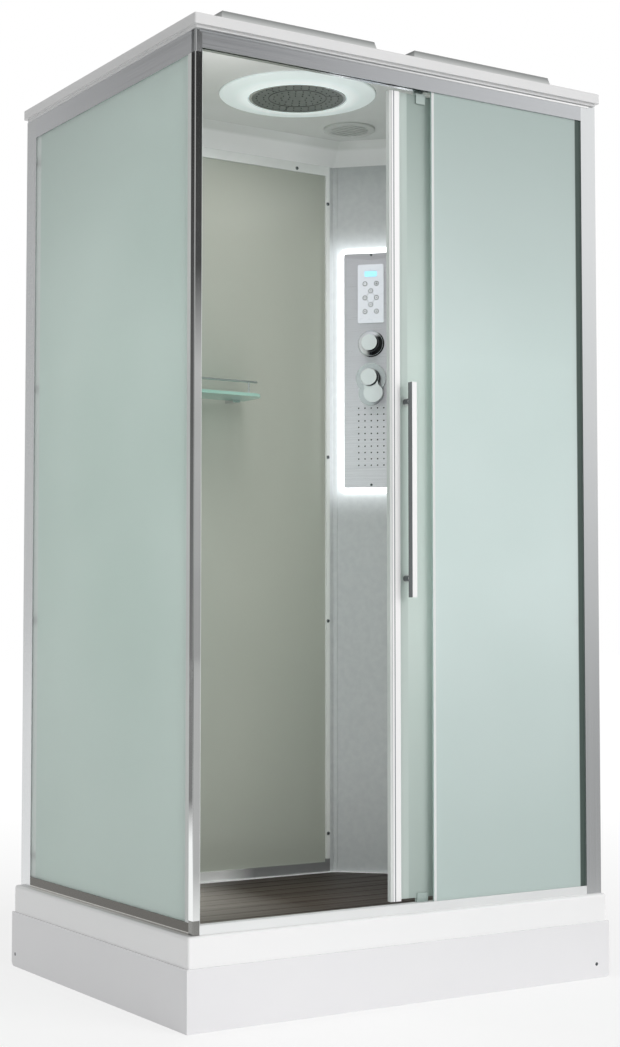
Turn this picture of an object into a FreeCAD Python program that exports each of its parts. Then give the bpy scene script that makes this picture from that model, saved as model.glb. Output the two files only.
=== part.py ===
"""Steam shower cabin: tray, framed glass walls, sliding door, LED shower column and roof.

Millimetres. The origin is the centre of the tray on the floor: +X runs to the right along the
front, +Y to the back wall, +Z up. The door is drawn open, as the joint's rest position.
"""
import FreeCAD, Part
import math
import os
import re
import Sketcher

os.makedirs("parts", exist_ok=True)
doc = FreeCAD.newDocument("SteamShowerCabin")
sheet = doc.addObject("Spreadsheet::Sheet", "Sizes")
Vector = FreeCAD.Vector

# Driving dimensions: name and millimetres (or a count, or degrees where the name says so).
SIZES = [
    # tray, skirt panels and base
    ("tray_length", 1150), ("tray_width", 900), ("apron_height", 132), ("apron_wall", 4),
    ("apron_flange", 18), ("apron_round", 12), ("seam_gap", 1), ("skirt_drop", 15), ("tray_wall", 5),
    ("rim_top", 197), ("ledge_top", 168), ("rim_round", 7), ("tray_round", 6), ("basin_round", 30),
    ("floor_wall", 6), ("ledge_show", 8), ("front_rim_lap", 6), ("left_rim_lap", 11),
    ("tube_size", 30), ("tube_wall", 2), ("base_inset_x", 95), ("base_inset_y", 105),
    ("foot_pad_radius", 24), ("foot_pad_height", 12), ("foot_rod_radius", 6), ("foot_nut_height", 10),
    ("foot_nut_radius", 10.5), ("rod_clearance", 0.5), ("foot_rod_rise", 12),
    ("waste_inset_x", 325), ("waste_inset_y", 270), ("waste_radius", 45), ("grate_radius", 55),
    ("grate_height", 3), ("trap_radius", 55), ("trap_depth", 88), ("spigot_radius", 20),
    ("spigot_drop", 70), ("spigot_reach", 215), ("spigot_length", 150), ("spigot_neck", 18),
    # lift-out slatted floor
    ("slat_count", 12), ("slat_gap", 4), ("slat_height", 12), ("batten_height", 14.7),
    ("batten_width", 40), ("deck_side_gap", 4), ("deck_seat_gap", 0.3), ("batten_side", 60),
    # outer frame
    ("frame_inset_left", 21), ("frame_inset_right", 9), ("frame_inset_front", 16), ("frame_inset_back", 5),
    ("frame_top", 2110), ("frame_depth", 36), ("side_depth", 28), ("frame_wall", 2.4),
    ("corner_size", 17), ("web_thickness", 3), ("post_width", 46), ("rear_post_length", 54),
    ("front_header_height", 40), ("side_header_height", 50), ("bracket_height", 30),
    ("front_sill_height", 20), ("side_sill_height", 25), ("sill_floor", 4), ("sill_step", 10),
    ("glass_thickness", 5), ("glass_play", 0.5), ("slot_depth", 8), ("front_glass_back", 8),
    ("side_glass_back", 3), ("channel_width", 15),
    ("fixed_step", 110), ("clip_height", 14), ("clip_reach", 26), ("clip_thickness", 4),
    ("clip_rise_low", 274), ("clip_rise_mid", 850), ("clip_rise_high", 1425), ("clip_rise_top", 1993),
    # back and right walls, and the corner column between them
    ("wall_inset_x", 69), ("wall_inset_y", 40), ("wall_depth", 20), ("wall_rail", 25),
    ("wall_stile", 11), ("column_leg", 156), ("edge_show", 12), ("edge_lip", 2),
    ("panel_thickness", 4), ("panel_play", 0.3), ("panel_slot", 11),
    # sliding door
    ("door_back", 20.5), ("door_edge_x", -40), ("magnet_width", 6),
    ("stile_width", 22), ("stile_depth", 14), ("stile_slot", 6), ("door_inset", 4),
    ("door_top_gap", 8), ("door_bottom_gap", 9), ("seal_lap", 4), ("seal_wall", 2),
    ("strike_width", 11), ("strike_gap", 0.5),
    ("handle_step", 47), ("handle_width", 14), ("handle_depth", 16), ("handle_low", 902),
    ("handle_high", 1390), ("handle_stand", 18.5), ("handle_inset", 43), ("standoff_radius", 8),
    ("stud_radius", 4), ("washer_radius", 11), ("washer_height", 4), ("stud_play", 1),
    ("roller_step", 89), ("roller_inset", 62), ("wheel_radius", 11), ("wheel_width", 6),
    ("axle_radius", 2.5), ("axle_play", 0.05), ("axle_head", 1), ("carrier_width", 26),
    ("carrier_plate", 4), ("carrier_jaw", 20), ("rail_bead", 1.5), ("wheel_gap", 0.3),
    ("ledge_width", 10), ("guide_width", 30), ("guide_height", 20), ("rail_height", 9),
    ("rail_width", 3), ("guide_wall", 2), ("guide_play", 0.4), ("guide_lift", 1),
    # roof and ceiling
    ("lip_side", 9), ("lip_front", 14), ("lip_back", 3), ("lip_right", 3), ("lip_height", 24),
    ("bead_height", 6), ("bead_inset", 8), ("dome_inset", 40), ("dome_slope", 35),
    ("dome_height", 26), ("ceiling_rise", 50), ("ceiling_inset", 85), ("ceiling_edge", 2),
    ("rib_height", 13), ("rib_near", 47), ("rib_inset", 100), ("rib_front", 45), ("rib_depth", 135),
    ("rib_back_depth", 95), ("rib_slope", 10),
    ("lamp_x", -20), ("lamp_y", 8), ("lamp_radius", 195), ("lamp_wall", 3), ("lamp_flange", 16),
    ("lamp_depth", 24), ("lamp_play", 1), ("diffuser_drop", 9), ("diffuser_wall", 4),
    ("head_radius", 123.5), ("head_rim", 9), ("head_drop", 12), ("head_body", 17),
    ("head_boss", 30), ("head_play", 0.5), ("face_recess", 1.5), ("face_wall", 4),
    ("fan_inset_x", 240), ("fan_inset_y", 207), ("fan_cover_radius", 68.5), ("fan_bore", 56),
    ("fan_case", 130), ("fan_case_height", 38), ("fan_neck", 3), ("fan_hub", 21),
    ("fan_blade_count", 7), ("fan_tip_gap", 2), ("fan_pin", 3), ("fan_motor", 10),
    ("pipe_radius", 11), ("pipe_wall", 2), ("pipe_rise", 50), ("pipe_bend", 25),
    ("pipe_hole_play", 2), ("pipe_back", 60), ("pipe_foot", 1690),
    # shower column
    ("guide_low", 1199), ("guide_high", 1878), ("light_half", 92), ("light_depth", 8),
    ("light_round", 18), ("plate_half", 76), ("plate_border", 15), ("plate_depth", 14),
    ("plate_round", 5), ("plate_skin", 1.5), ("vee_drop", 21), ("vee_side", 12), ("vee_back", 9),
    ("pad_half", 36.5), ("pad_low", 1667), ("pad_high", 1830), ("pad_depth", 4), ("pad_round", 5),
    ("display_half", 23), ("display_low", 1794), ("display_high", 1812), ("display_recess", 1),
    ("key_radius", 6.3), ("key_play", 0.25), ("key_height", 3.9), ("key_proud", 1.1),
    ("key_travel", 0.7), ("key_spread", 16), ("key_row_top", 1776), ("key_row_up", 1756),
    ("key_row_mid", 1737), ("key_row_down", 1718), ("key_row_low", 1699),
    ("diverter_z", 1610), ("mixer_z", 1514), ("spindle_radius", 9), ("spindle_play", 0.05),
    ("valve_hole", 17), ("collar_radius", 37), ("collar_depth", 4), ("knob_gap", 0.4),
    ("knob_base", 33), ("knob_face", 23.5), ("knob_height", 25), ("knob_round", 2),
    ("mixer_collar", 42), ("lobe_radius", 35), ("lobe_drop", 40),
    ("dome_radius", 27), ("dome_centre", 24), ("cap_radius", 25), ("cap_face", 58),
    ("cap_back", 38), ("cap_play", 0.4), ("lever_radius", 26.5), ("lever_drop", 44),
    ("lever_neck", 20), ("lever_back", 44), ("lever_face", 52), ("lever_swing_degrees", 14),
    ("jet_columns", 5), ("jet_rows", 10), ("jet_pitch", 17.5), ("jet_radius", 2.1),
    ("jet_low", 1275), ("jet_box_half", 46), ("jet_box_margin", 10), ("jet_box_depth", 10.5),
    ("valve_half", 24), ("valve_back", 78), ("valve_high", 1690), ("valve_low", 1470),
    ("feed_radius", 10.48), ("feed_pipe", 9), ("feed_thread", 15), ("feed_spread", 45), ("feed_low", 1250),
    ("feed_back", 52), ("feed_reach", 30),
    ("boiler_half", 70), ("boiler_depth", 80), ("boiler_low", 330), ("boiler_high", 650),
    ("boiler_round", 10), ("steam_x", 68), ("steam_z", 262), ("steam_radius", 26),
    ("steam_depth", 16), ("steam_pipe", 9), ("steam_bore", 13),
    # corner shelf on the back wall
    ("shelf_inset", 135), ("shelf_length", 500), ("shelf_reach", 120), ("shelf_top", 1444),
    ("shelf_thickness", 8), ("shelf_round", 40), ("shelf_wall_gap", 3), ("gallery_height", 30),
    ("gallery_radius", 3), ("gallery_post", 2.6), ("gallery_end", 25), ("gallery_inset", 49),
         ("gallery_setback", 4), ("bracket_width", 22),
    ("bracket_inset", 40), ("bracket_reach", 42), ("bracket_deep", 16), ("bracket_slot", 30),
]

for row, (alias, value) in enumerate(SIZES, start=1):
    sheet.set(f"A{row}", alias)
    sheet.set(f"B{row}", str(value))
    sheet.setAlias(f"B{row}", alias)
doc.recompute()

NAMES = {alias for alias, value in SIZES}

# Sizes that follow from the driving ones, as formulas in the same words.
DERIVED = {
    "cabin_left": "(tray_length / 2 - frame_inset_left)",
    "cabin_right": "(tray_length / 2 - frame_inset_right)",
    "cabin_front": "(tray_width / 2 - frame_inset_front)",
    "cabin_back": "(tray_width / 2 - frame_inset_back)",
    "wall_face_x": "(tray_length / 2 - wall_inset_x)",
    "wall_face_y": "(tray_width / 2 - wall_inset_y)",
    "waste_x": "(-tray_length / 2 + waste_inset_x)",
    "waste_y": "(tray_width / 2 - waste_inset_y)",
    "door_right": "(tray_length / 2 - frame_inset_right - door_inset)",
    "handle_x": "(door_edge_x + handle_step)",
    "roller_left": "(door_edge_x + roller_step)",
    "roller_right": "(tray_length / 2 - frame_inset_right - door_inset - roller_inset)",
    "fixed_edge_x": "(door_edge_x + fixed_step)",
    "fan_x": "(wall_face_x - fan_inset_x)",
    "fan_y": "(wall_face_y - fan_inset_y)",
    "rib_length": "(cabin_right + lip_right - rib_inset - rib_near)",
    "shelf_left": "(-tray_length / 2 + shelf_inset)",
    "shelf_front": "(wall_face_y - shelf_reach)",
    "tray_bottom": "(apron_height + seam_gap)",
    "basin_floor": "(apron_height + seam_gap + floor_wall)",
    "tray_x": "(tray_length / 2 - apron_wall)",
    "tray_y": "(tray_width / 2 - apron_wall)",
    "basin_left": "(-cabin_left + side_depth + left_rim_lap)",
    "basin_front": "(-cabin_front + frame_depth + front_rim_lap)",
    "basin_right": "(wall_face_x - ledge_show)",
    "basin_back": "(wall_face_y - ledge_show)",
    "basin_leg": "(column_leg - ledge_show * (2 - sqrt(2)))",
    "base_x": "(tray_length / 2 - base_inset_x)",
    "base_y": "(tray_width / 2 - base_inset_y)",
    "deck_top": "(apron_height + seam_gap + floor_wall + deck_seat_gap + batten_height + slat_height)",
    "deck_under": "(apron_height + seam_gap + floor_wall + deck_seat_gap)",
    "post_inner": "(cabin_right - post_width)",
    "front_back_face": "(-cabin_front + frame_depth)",
    "side_inner": "(-cabin_left + side_depth)",
    "corner_x": "(-cabin_left + corner_size)",
    "corner_y": "(-cabin_front + corner_size)",
    "header_low": "(frame_top - front_header_height)",
    "side_header_low": "(frame_top - side_header_height)",
    "glass_y": "(-cabin_front + front_glass_back)",
    "glass_x": "(-cabin_left + side_glass_back)",
    "rear_post_y": "(cabin_back - rear_post_length)",
    "door_y": "(-cabin_front + door_back + glass_thickness)",
    "door_mid": "(-cabin_front + door_back + glass_thickness / 2)",
    "door_top": "(frame_top - front_header_height - door_top_gap)",
    "door_low": "(rim_top + front_sill_height + door_bottom_gap)",
    "rail_top": "(frame_top - front_header_height + frame_wall + rail_bead)",
    "wheel_z": "(frame_top - front_header_height + frame_wall + rail_bead + wheel_gap + wheel_radius)",
    "wheel_y": "(-cabin_front + door_back - wheel_width - carrier_plate / 2)",
    "lip_low": "(frame_top + bead_height)",
    "lip_top": "(frame_top + bead_height + lip_height)",
    "dome_top": "(frame_top + bead_height + lip_height + dome_height)",
    "ceiling": "(frame_top + ceiling_rise)",
    "plate_front": "(light_depth + plate_depth)",
    "plate_low": "(guide_low + plate_border)",
    "plate_high": "(guide_high - plate_border)",
    "pad_front": "(light_depth + plate_depth + pad_depth)",
    "column_half": "(column_leg * sqrt(2) / 2)",
}
WORD = re.compile(r"[a-z][a-z0-9_]*")


def formula(text):
    """Write a formula for the sheet: derived names are opened up and sizes get their prefix."""
    text = str(text)
    while any(word in DERIVED for word in WORD.findall(text)):
        text = WORD.sub(lambda word: DERIVED.get(word.group(), word.group()), text)
    return WORD.sub(lambda word: "Sizes." + word.group() if word.group() in NAMES else word.group(), text)


def number(text):
    """The value that a formula has now."""
    return float(sheet.evalExpression(formula(text)))


def place(thing, x=0, y=0, z=0, axis=Vector(0, 0, 1), degrees=0):
    """Put an object at a bound place, turned about one axis."""
    thing.Placement = FreeCAD.Placement(Vector(number(x), number(y), number(z)),
                                        FreeCAD.Rotation(axis, degrees))
    thing.setExpression("Placement.Base.x", formula(x))
    thing.setExpression("Placement.Base.y", formula(y))
    thing.setExpression("Placement.Base.z", formula(z))
    return thing


def on_column(thing, x=0, depth=0, z=0):
    """Stand an object on the corner column: its own X runs along the face and -Y into the room."""
    mid_x = "wall_face_x - column_leg / 2 + edge_lip / sqrt(2)"
    mid_y = "wall_face_y - column_leg / 2 + edge_lip / sqrt(2)"
    along = f"(({x}) / sqrt(2))"
    back = f"(({depth}) / sqrt(2))"
    return place(thing, f"{mid_x} + {along} + {back}", f"{mid_y} - {along} + {back}", z, degrees=-45)


def origin_plane(body, role):
    return next(item for item in body.Origin.OriginFeatures if item.Role == role)


def sketch(body, role, outline, offset="0", circles=()):
    """A closed outline of bound corner points, or bound circles (x, y, radius), on an origin plane."""
    flat = body.newObject("Sketcher::SketchObject", "Sketch")
    flat.AttachmentSupport = [(origin_plane(body, role), "")]
    flat.MapMode = "FlatFace"
    flat.AttachmentOffset = FreeCAD.Placement(Vector(0, 0, number(offset)), FreeCAD.Rotation())
    flat.setExpression("AttachmentOffset.Base.z", formula(offset))
    corners = [Vector(number(across), number(up), 0) for across, up in outline]
    count = len(corners)
    lines = [Part.LineSegment(corners[i], corners[(i + 1) % count]) for i in range(count)]
    if lines:
        flat.addGeometry(lines)
        flat.addConstraint([Sketcher.Constraint("Coincident", i, 2, (i + 1) % count, 1)
                            for i in range(count)])
    for i, (across, up) in enumerate(outline):
        bind_point(flat, i, 1, across, up)
    for across, up, radius in circles:
        ring = Part.Circle(Vector(number(across), number(up), 0), Vector(0, 0, 1), number(radius))
        index = flat.addGeometry(ring)
        bind_point(flat, index, 3, across, up)
        limit = flat.addConstraint(Sketcher.Constraint("Radius", index, number(radius)))
        flat.setExpression(f"Constraints[{limit}]", formula(radius))
    return flat


def bind_point(flat, index, end, across, up):
    for direction, text in (("DistanceX", across), ("DistanceY", up)):
        limit = flat.addConstraint(Sketcher.Constraint(direction, -1, 1, index, end, number(text)))
        flat.setExpression(f"Constraints[{limit}]", formula(text))


PLANES = {"x": ("YZ_Plane", 1), "y": ("XZ_Plane", -1), "z": ("XY_Plane", 1)}


def pad(body, along, outline, start, end, circles=()):
    """Extrude an outline along an axis of the body, from start to end."""
    role, sense = PLANES[along]
    offset = start if sense > 0 else f"-({start})"
    block = body.newObject("PartDesign::Pad", "Pad")
    block.Profile = sketch(body, role, outline, offset, circles)
    block.setExpression("Length", formula(f"({end}) - ({start})"))
    block.Reversed = sense < 0
    body.Tip = block
    return block


def pocket(body, along, outline, start, end, circles=()):
    """Cut an outline out of the body along an axis, from start to end."""
    role, sense = PLANES[along]
    offset = start if sense > 0 else f"-({start})"
    hole = body.newObject("PartDesign::Pocket", "Pocket")
    hole.Profile = sketch(body, role, outline, offset, circles)
    hole.setExpression("Length", formula(f"({end}) - ({start})"))
    hole.Reversed = sense > 0
    body.Tip = hole
    return hole


def turn(body, outline, cut=False):
    """Revolve an outline of (radius, height) about the body's Z axis."""
    kind = "PartDesign::Groove" if cut else "PartDesign::Revolution"
    form = body.newObject(kind, "Turned")
    flat = sketch(body, "XZ_Plane", outline)
    form.Profile = flat
    form.ReferenceAxis = (flat, ["V_Axis"])
    form.Angle = 360
    body.Tip = form
    return form


def loft(body, sections, cut=False):
    """Ruled loft between outlines; each section is (along, offset, outline)."""
    kind = "PartDesign::SubtractiveLoft" if cut else "PartDesign::AdditiveLoft"
    flats = []
    for along, offset, outline in sections:
        role, sense = PLANES[along]
        flats.append(sketch(body, role, outline, offset if sense > 0 else f"-({offset})"))
    form = body.newObject(kind, "Loft")
    form.Profile = flats[0]
    form.Sections = flats[1:]
    form.Ruled = True
    body.Tip = form
    return form


def soften(body, radius, wanted, kind="PartDesign::Fillet"):
    """Round or chamfer the edges of the body's last feature that the test picks."""
    doc.recompute()
    tip = body.Tip
    names = [f"Edge{i}" for i, edge in enumerate(tip.Shape.Edges, start=1) if wanted(edge)]
    form = body.newObject(kind, "Soft")
    form.Base = (tip, names)
    prop = "Radius" if kind.endswith("Fillet") else "Size"
    form.setExpression(prop, formula(radius))
    body.Tip = form
    return form


def is_along(edge, axis):
    """True for a straight edge that lies along 'x', 'y' or 'z'."""
    if len(edge.Vertexes) != 2 or not isinstance(edge.Curve, Part.Line):
        return False
    step = edge.Vertexes[1].Point - edge.Vertexes[0].Point
    sizes = {"x": abs(step.x), "y": abs(step.y), "z": abs(step.z)}
    return sizes[axis] > 0.999 * step.Length


def near(value, text):
    return abs(value - number(text)) < 0.01


def rectangle(low_x, low_y, high_x, high_y):
    return [(low_x, low_y), (high_x, low_y), (high_x, high_y), (low_x, high_y)]


PIECES = {}


def piece(name):
    """Start a sub-part as a body of its own, known by the name that its file gets."""
    body = doc.addObject("PartDesign::Body", name)
    PIECES[name] = body
    return body


def loose(name):
    """A body that becomes one of several alike in a group."""
    return doc.addObject("PartDesign::Body", name)


def group(name, members):
    """Several separate solids that share one name."""
    bundle = doc.addObject("Part::Compound", name)
    bundle.Links = members
    PIECES[name] = bundle
    return bundle


# ---------------------------------------------------------------- tray and base

def make_tray():
    """Moulded tray: high rim at the front and left, low ledge under the walls, sunken floor."""
    body = piece("tray")
    pad(body, "z", rectangle("-tray_x", "-tray_y", "tray_x", "tray_y"), "tray_bottom - skirt_drop",
        "ledge_top")
    upstand = [("-tray_x", "-tray_y"), ("tray_x", "-tray_y"), ("tray_x", "basin_front"),
               ("basin_left", "basin_front"), ("basin_left", "tray_y"), ("-tray_x", "tray_y")]
    pad(body, "z", upstand, "ledge_top", "rim_top")
    soften(body, "tray_round", lambda edge: is_along(edge, "z")
           and near(abs(edge.CenterOfMass.x), "tray_x") and near(abs(edge.CenterOfMass.y), "tray_y"))
    soften(body, "rim_round", lambda edge: near(edge.CenterOfMass.z, "rim_top")
           and (near(edge.CenterOfMass.y, "-tray_y") or near(edge.CenterOfMass.x, "-tray_x")))
    leg = "(basin_leg)"
    basin = [("basin_left", "basin_front"), ("basin_right", "basin_front"),
             ("basin_right", f"basin_back - {leg}"), (f"basin_right - {leg}", "basin_back"),
             ("basin_left", "basin_back")]
    pocket(body, "z", basin, "basin_floor", "rim_top + 1")
    soften(body, "basin_round", lambda edge: is_along(edge, "z") and near(edge.BoundBox.ZMin, "basin_floor"))
    # the underside is open, a skin follows the rim and the ledge
    under = "tray_bottom"
    low = "tray_bottom - skirt_drop"
    inner_x = "(tray_x - tray_wall)"
    inner_y = "(tray_y - tray_wall)"
    pocket(body, "z", rectangle(f"-{inner_x}", f"-{inner_y}", inner_x, inner_y), low, under)
    pocket(body, "z", rectangle(f"-{inner_x}", f"-{inner_y}", inner_x, "basin_front - tray_wall"),
           under, "rim_top - tray_wall - rim_round")
    pocket(body, "z", rectangle(f"-{inner_x}", "basin_front - tray_wall - 1", "basin_left - tray_wall",
                                inner_y),
           under, "rim_top - tray_wall - rim_round")
    pocket(body, "z", rectangle("basin_left - tray_wall - 1", "basin_back + tray_wall", inner_x, inner_y),
           under, "ledge_top - tray_wall")
    pocket(body, "z", rectangle("basin_right + tray_wall", "basin_front - tray_wall - 1", inner_x, inner_y),
           under, "ledge_top - tray_wall")
    pocket(body, "z", [], "tray_bottom - 1", "basin_floor + 1",
           circles=[("waste_x", "waste_y", "waste_radius")])


def make_aprons():
    """Skirt panels of the front and left side, folded in at the top and bottom."""
    half_x = "tray_length / 2"
    half_y = "tray_width / 2"
    front = piece("front_apron")
    section = [(f"-{half_y}", "0"), (f"-{half_y} + apron_flange", "0"),
               (f"-{half_y} + apron_flange", "apron_wall"),
               (f"-{half_y} + apron_wall", "apron_wall"), (f"-{half_y} + apron_wall", "apron_height"),
               (f"-{half_y}", "apron_height")]
    pad(front, "x", section, f"-{half_x}", half_x)
    soften(front, "apron_round", lambda edge: is_along(edge, "y")
           and near(edge.CenterOfMass.x, half_x) and near(edge.CenterOfMass.z, "0"))
    left = piece("left_apron")
    section = [(f"-{half_x}", "0"), (f"-{half_x} + apron_flange", "0"),
               (f"-{half_x} + apron_flange", "apron_wall"),
               (f"-{half_x} + apron_wall", "apron_wall"), (f"-{half_x} + apron_wall", "apron_height"),
               (f"-{half_x}", "apron_height")]
    pad(left, "y", section, f"-{half_y} + apron_flange", half_y)
    pad(left, "y", rectangle(f"-{half_x}", "apron_wall", f"-{half_x} + apron_wall", "apron_height"),
        f"-{half_y} + apron_wall", f"-{half_y} + apron_flange")
    soften(left, "apron_round", lambda edge: is_along(edge, "x")
           and near(edge.CenterOfMass.y, half_y) and near(edge.CenterOfMass.z, "0"))


def hollow_tube(name, along, centre, start, end):
    """Square steel tube with its centre at (across, up)."""
    body = loose(name)
    across, up = centre
    outer = rectangle(f"{across} - tube_size / 2", f"{up} - tube_size / 2",
                      f"{across} + tube_size / 2", f"{up} + tube_size / 2")
    inner = rectangle(f"{across} - tube_size / 2 + tube_wall", f"{up} - tube_size / 2 + tube_wall",
                      f"{across} + tube_size / 2 - tube_wall", f"{up} + tube_size / 2 - tube_wall")
    pad(body, along, outer, start, end)
    pocket(body, along, inner, start, end)
    return body


def foot_places():
    return [(x, y) for x in ("-base_x", "0", "base_x") for y in ("-base_y", "base_y")]


def make_base():
    """Welded tube frame on six levelling feet."""
    up = "(tray_bottom - tube_size / 2)"
    reach = "(base_x + tube_size)"
    tubes = []
    for side, y in (("front", "-base_y"), ("rear", "base_y")):
        tube = hollow_tube(f"tube_{side}", "x", (y, up), f"-{reach}", reach)
        holes = [(x, y, "foot_rod_radius + rod_clearance") for x in ("-base_x", "0", "base_x")]
        pocket(tube, "z", [], "tray_bottom - tube_size - 1", "tray_bottom - tube_size + tube_wall + 1",
               circles=holes)
        tubes.append(tube)
    for side, x in (("left", "-base_x"), ("mid", "0"), ("right", "base_x")):
        tubes.append(hollow_tube(f"tube_{side}", "y", (x, up), "-base_y + tube_size / 2",
                                 "base_y - tube_size / 2"))
    group("base_frame", tubes)
    members = []
    under = "(tray_bottom - tube_size)"
    for i, (x, y) in enumerate(foot_places()):
        foot = loose(f"foot_{i}")
        turn(foot, [("0", "0"), ("foot_pad_radius", "0"), ("foot_pad_radius", "foot_pad_height / 3"),
                    ("foot_rod_radius + 4", "foot_pad_height"), ("foot_rod_radius", "foot_pad_height"),
                    ("foot_rod_radius", f"{under} + foot_rod_rise"), ("0", f"{under} + foot_rod_rise")])
        members.append(place(foot, x, y))
        nut = loose(f"nut_{i}")
        hexagon = [(f"foot_nut_radius * cos({60 * k})", f"foot_nut_radius * sin({60 * k})") for k in range(6)]
        pad(nut, "z", hexagon, f"{under} - foot_nut_height", under)
        pocket(nut, "z", [], f"{under} - foot_nut_height", under, circles=[("0", "0", "foot_rod_radius")])
        members.append(place(nut, x, y))
    group("levelling_feet", members)


def make_waste():
    """Trap hung under the floor with its spigot to the back, and the grate over its mouth."""
    trap = loose("trap")
    wall = "tray_wall"
    low = "(tray_bottom - trap_depth)"
    turn(trap, [("0", low), ("trap_radius - 10", low), ("trap_radius", f"{low} + 10"),
                ("trap_radius", "tray_bottom"), (f"waste_radius - {wall}", "tray_bottom"),
                (f"waste_radius - {wall}", f"{low} + {wall}"), ("0", f"{low} + {wall}")])
    axis_z = "(tray_bottom - spigot_drop)"
    neck = "(spigot_reach - spigot_length)"
    pad(trap, "y", [], f"trap_radius - {wall}", neck, circles=[("0", axis_z, "spigot_neck")])
    pad(trap, "y", [], neck, "spigot_reach", circles=[("0", axis_z, "spigot_radius")])
    pocket(trap, "y", [], f"trap_radius - {wall} - 6", "spigot_reach",
           circles=[("0", axis_z, "spigot_radius - 4")])
    place(trap, "waste_x", "waste_y")
    grate = loose("grate")
    turn(grate, [("0", "basin_floor"), ("grate_radius", "basin_floor"),
                 ("grate_radius", "basin_floor + grate_height / 3"),
                 ("grate_radius - 4", "basin_floor + grate_height"),
                 ("0", "basin_floor + grate_height")])
    ring = [(f"grate_radius * 0.55 * cos({45 * k})", f"grate_radius * 0.55 * sin({45 * k})",
             "grate_height * 2")
            for k in range(8)]
    pocket(grate, "z", [], "basin_floor - 1", "basin_floor + grate_height + 1", circles=ring)
    place(grate, "waste_x", "waste_y")
    group("waste_trap", [trap, grate])


def make_deck():
    """Slats on four battens, cut off at the column's corner, resting on the sunken floor."""
    body = piece("floor_deck")
    play = "deck_side_gap"
    left = f"(basin_left + {play})"
    right = f"(basin_right - {play})"
    front = f"(basin_front + {play})"
    back = f"(basin_back - {play})"
    leg = f"(basin_leg - {play} * (2 - sqrt(2)))"
    outline = [(left, front), (right, front), (right, f"{back} - {leg}"), (f"{right} - {leg}", back),
               (left, back)]
    top = "deck_top"
    plate_low = "(deck_top - slat_height)"
    pad(body, "z", outline, plate_low, top)
    soften(body, "basin_round - deck_side_gap", lambda edge: is_along(edge, "z"))
    inner = "(batten_side)"
    span = f"(({right} - {leg}) - ({left}) - 2 * {inner})"
    for k in range(3):
        x = f"({left} + {inner} + {span} * {k} / 2)"
        pad(body, "z", rectangle(f"{x} - batten_width / 2", f"{front} + batten_width",
                                 f"{x} + batten_width / 2",
                                 f"{back} - batten_width"), "deck_under", plate_low)
    x = f"({right} - batten_width)"
    pad(body, "z", rectangle(f"{x} - batten_width / 2", f"{front} + batten_width", f"{x} + batten_width / 2",
                             f"{back} - {leg} - batten_width"), "deck_under", plate_low)
    pitch = f"(({back} - {front} + slat_gap) / slat_count)"
    first = f"({front} + {pitch} - slat_gap)"
    slot = pocket(body, "z", rectangle(f"{left} - 1", first, f"{right} + 1", f"{first} + slat_gap"),
                  plate_low, top)
    row = body.newObject("PartDesign::LinearPattern", "SlatGaps")
    row.Originals = [slot]
    row.Direction = (slot.Profile[0], ["V_Axis"])
    row.setExpression("Length", formula(f"{pitch} * (slat_count - 2)"))
    row.setExpression("Occurrences", formula("slat_count - 1"))
    body.Tip = row


# ---------------------------------------------------------------- outer frame

def make_posts():
    """Chrome corner post, right front post with its door pocket, and left rear post."""
    low = "(rim_top + bracket_height)"
    corner = piece("corner_post")
    wall = "frame_wall"
    web = "(glass_x + glass_thickness + glass_play)"
    outline = [("-cabin_left", "-cabin_front"), ("corner_x", "-cabin_front"), ("corner_x", "corner_y"),
               (f"{web} + web_thickness", "corner_y"), (f"{web} + web_thickness", "front_back_face"),
               (web, "front_back_face"), (web, "corner_y"), ("-cabin_left", "corner_y")]
    pad(corner, "z", outline, low, "side_header_low")
    pocket(corner, "z", rectangle(f"-cabin_left + {wall}", f"-cabin_front + {wall}", f"corner_x - {wall}",
                                  f"corner_y - {wall}"),
           low, "side_header_low")
    soften(corner, "1.5", lambda edge: is_along(edge, "z") and near(edge.CenterOfMass.x, "-cabin_left")
           and near(edge.CenterOfMass.y, "-cabin_front"))

    right = piece("right_front_post")
    pocket_front = "(door_mid - stile_depth / 2 - 3)"
    pocket_back = "(front_back_face - frame_wall)"
    pad(right, "z", [("post_inner", "-cabin_front"), ("cabin_right", "-cabin_front"),
                     ("cabin_right", "front_back_face"), ("wall_face_x + wall_depth", "front_back_face"),
                     ("wall_face_x + wall_depth", "basin_front"), ("wall_face_x", "basin_front"),
                     ("wall_face_x", "front_back_face"), ("post_inner", "front_back_face"),
                     ("post_inner", pocket_back), (f"cabin_right - {wall}", pocket_back),
                     (f"cabin_right - {wall}", pocket_front), ("post_inner", pocket_front)],
        "rim_top", "frame_top")
    pocket(right, "z", rectangle("post_inner - 1", "glass_y - glass_play - glass_thickness",
                                 "post_inner + slot_depth + 2",
                                 "glass_y + glass_play"), "rim_top", "frame_top")
    pocket(right, "z", rectangle(f"post_inner + slot_depth + 2 + {wall}", f"-cabin_front + {wall}",
                                 f"cabin_right - {wall}",
                                 f"{pocket_front} - {wall}"), "rim_top", "frame_top")
    soften(right, "1.5", lambda edge: is_along(edge, "z") and near(edge.CenterOfMass.x, "cabin_right")
           and near(edge.CenterOfMass.y, "-cabin_front"))

    rear = piece("left_rear_post")
    pad(rear, "z", [("-cabin_left", "rear_post_y"), ("side_inner", "rear_post_y"),
                    ("side_inner", "wall_face_y"),
                    ("basin_left", "wall_face_y"), ("basin_left", "cabin_back"),
                    ("-cabin_left", "cabin_back")],
        "rim_top", "frame_top")
    pocket(rear, "z", rectangle("glass_x - glass_play", "rear_post_y - 1",
                                "glass_x + glass_thickness + glass_play",
                                "rear_post_y + slot_depth + 1"), "rim_top", "frame_top")
    pocket(rear, "z", rectangle(f"-cabin_left + {wall}", f"rear_post_y + slot_depth + 1 + {wall}",
                                f"side_inner - {wall}",
                                f"cabin_back - {wall}"), "rim_top", "frame_top")


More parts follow.
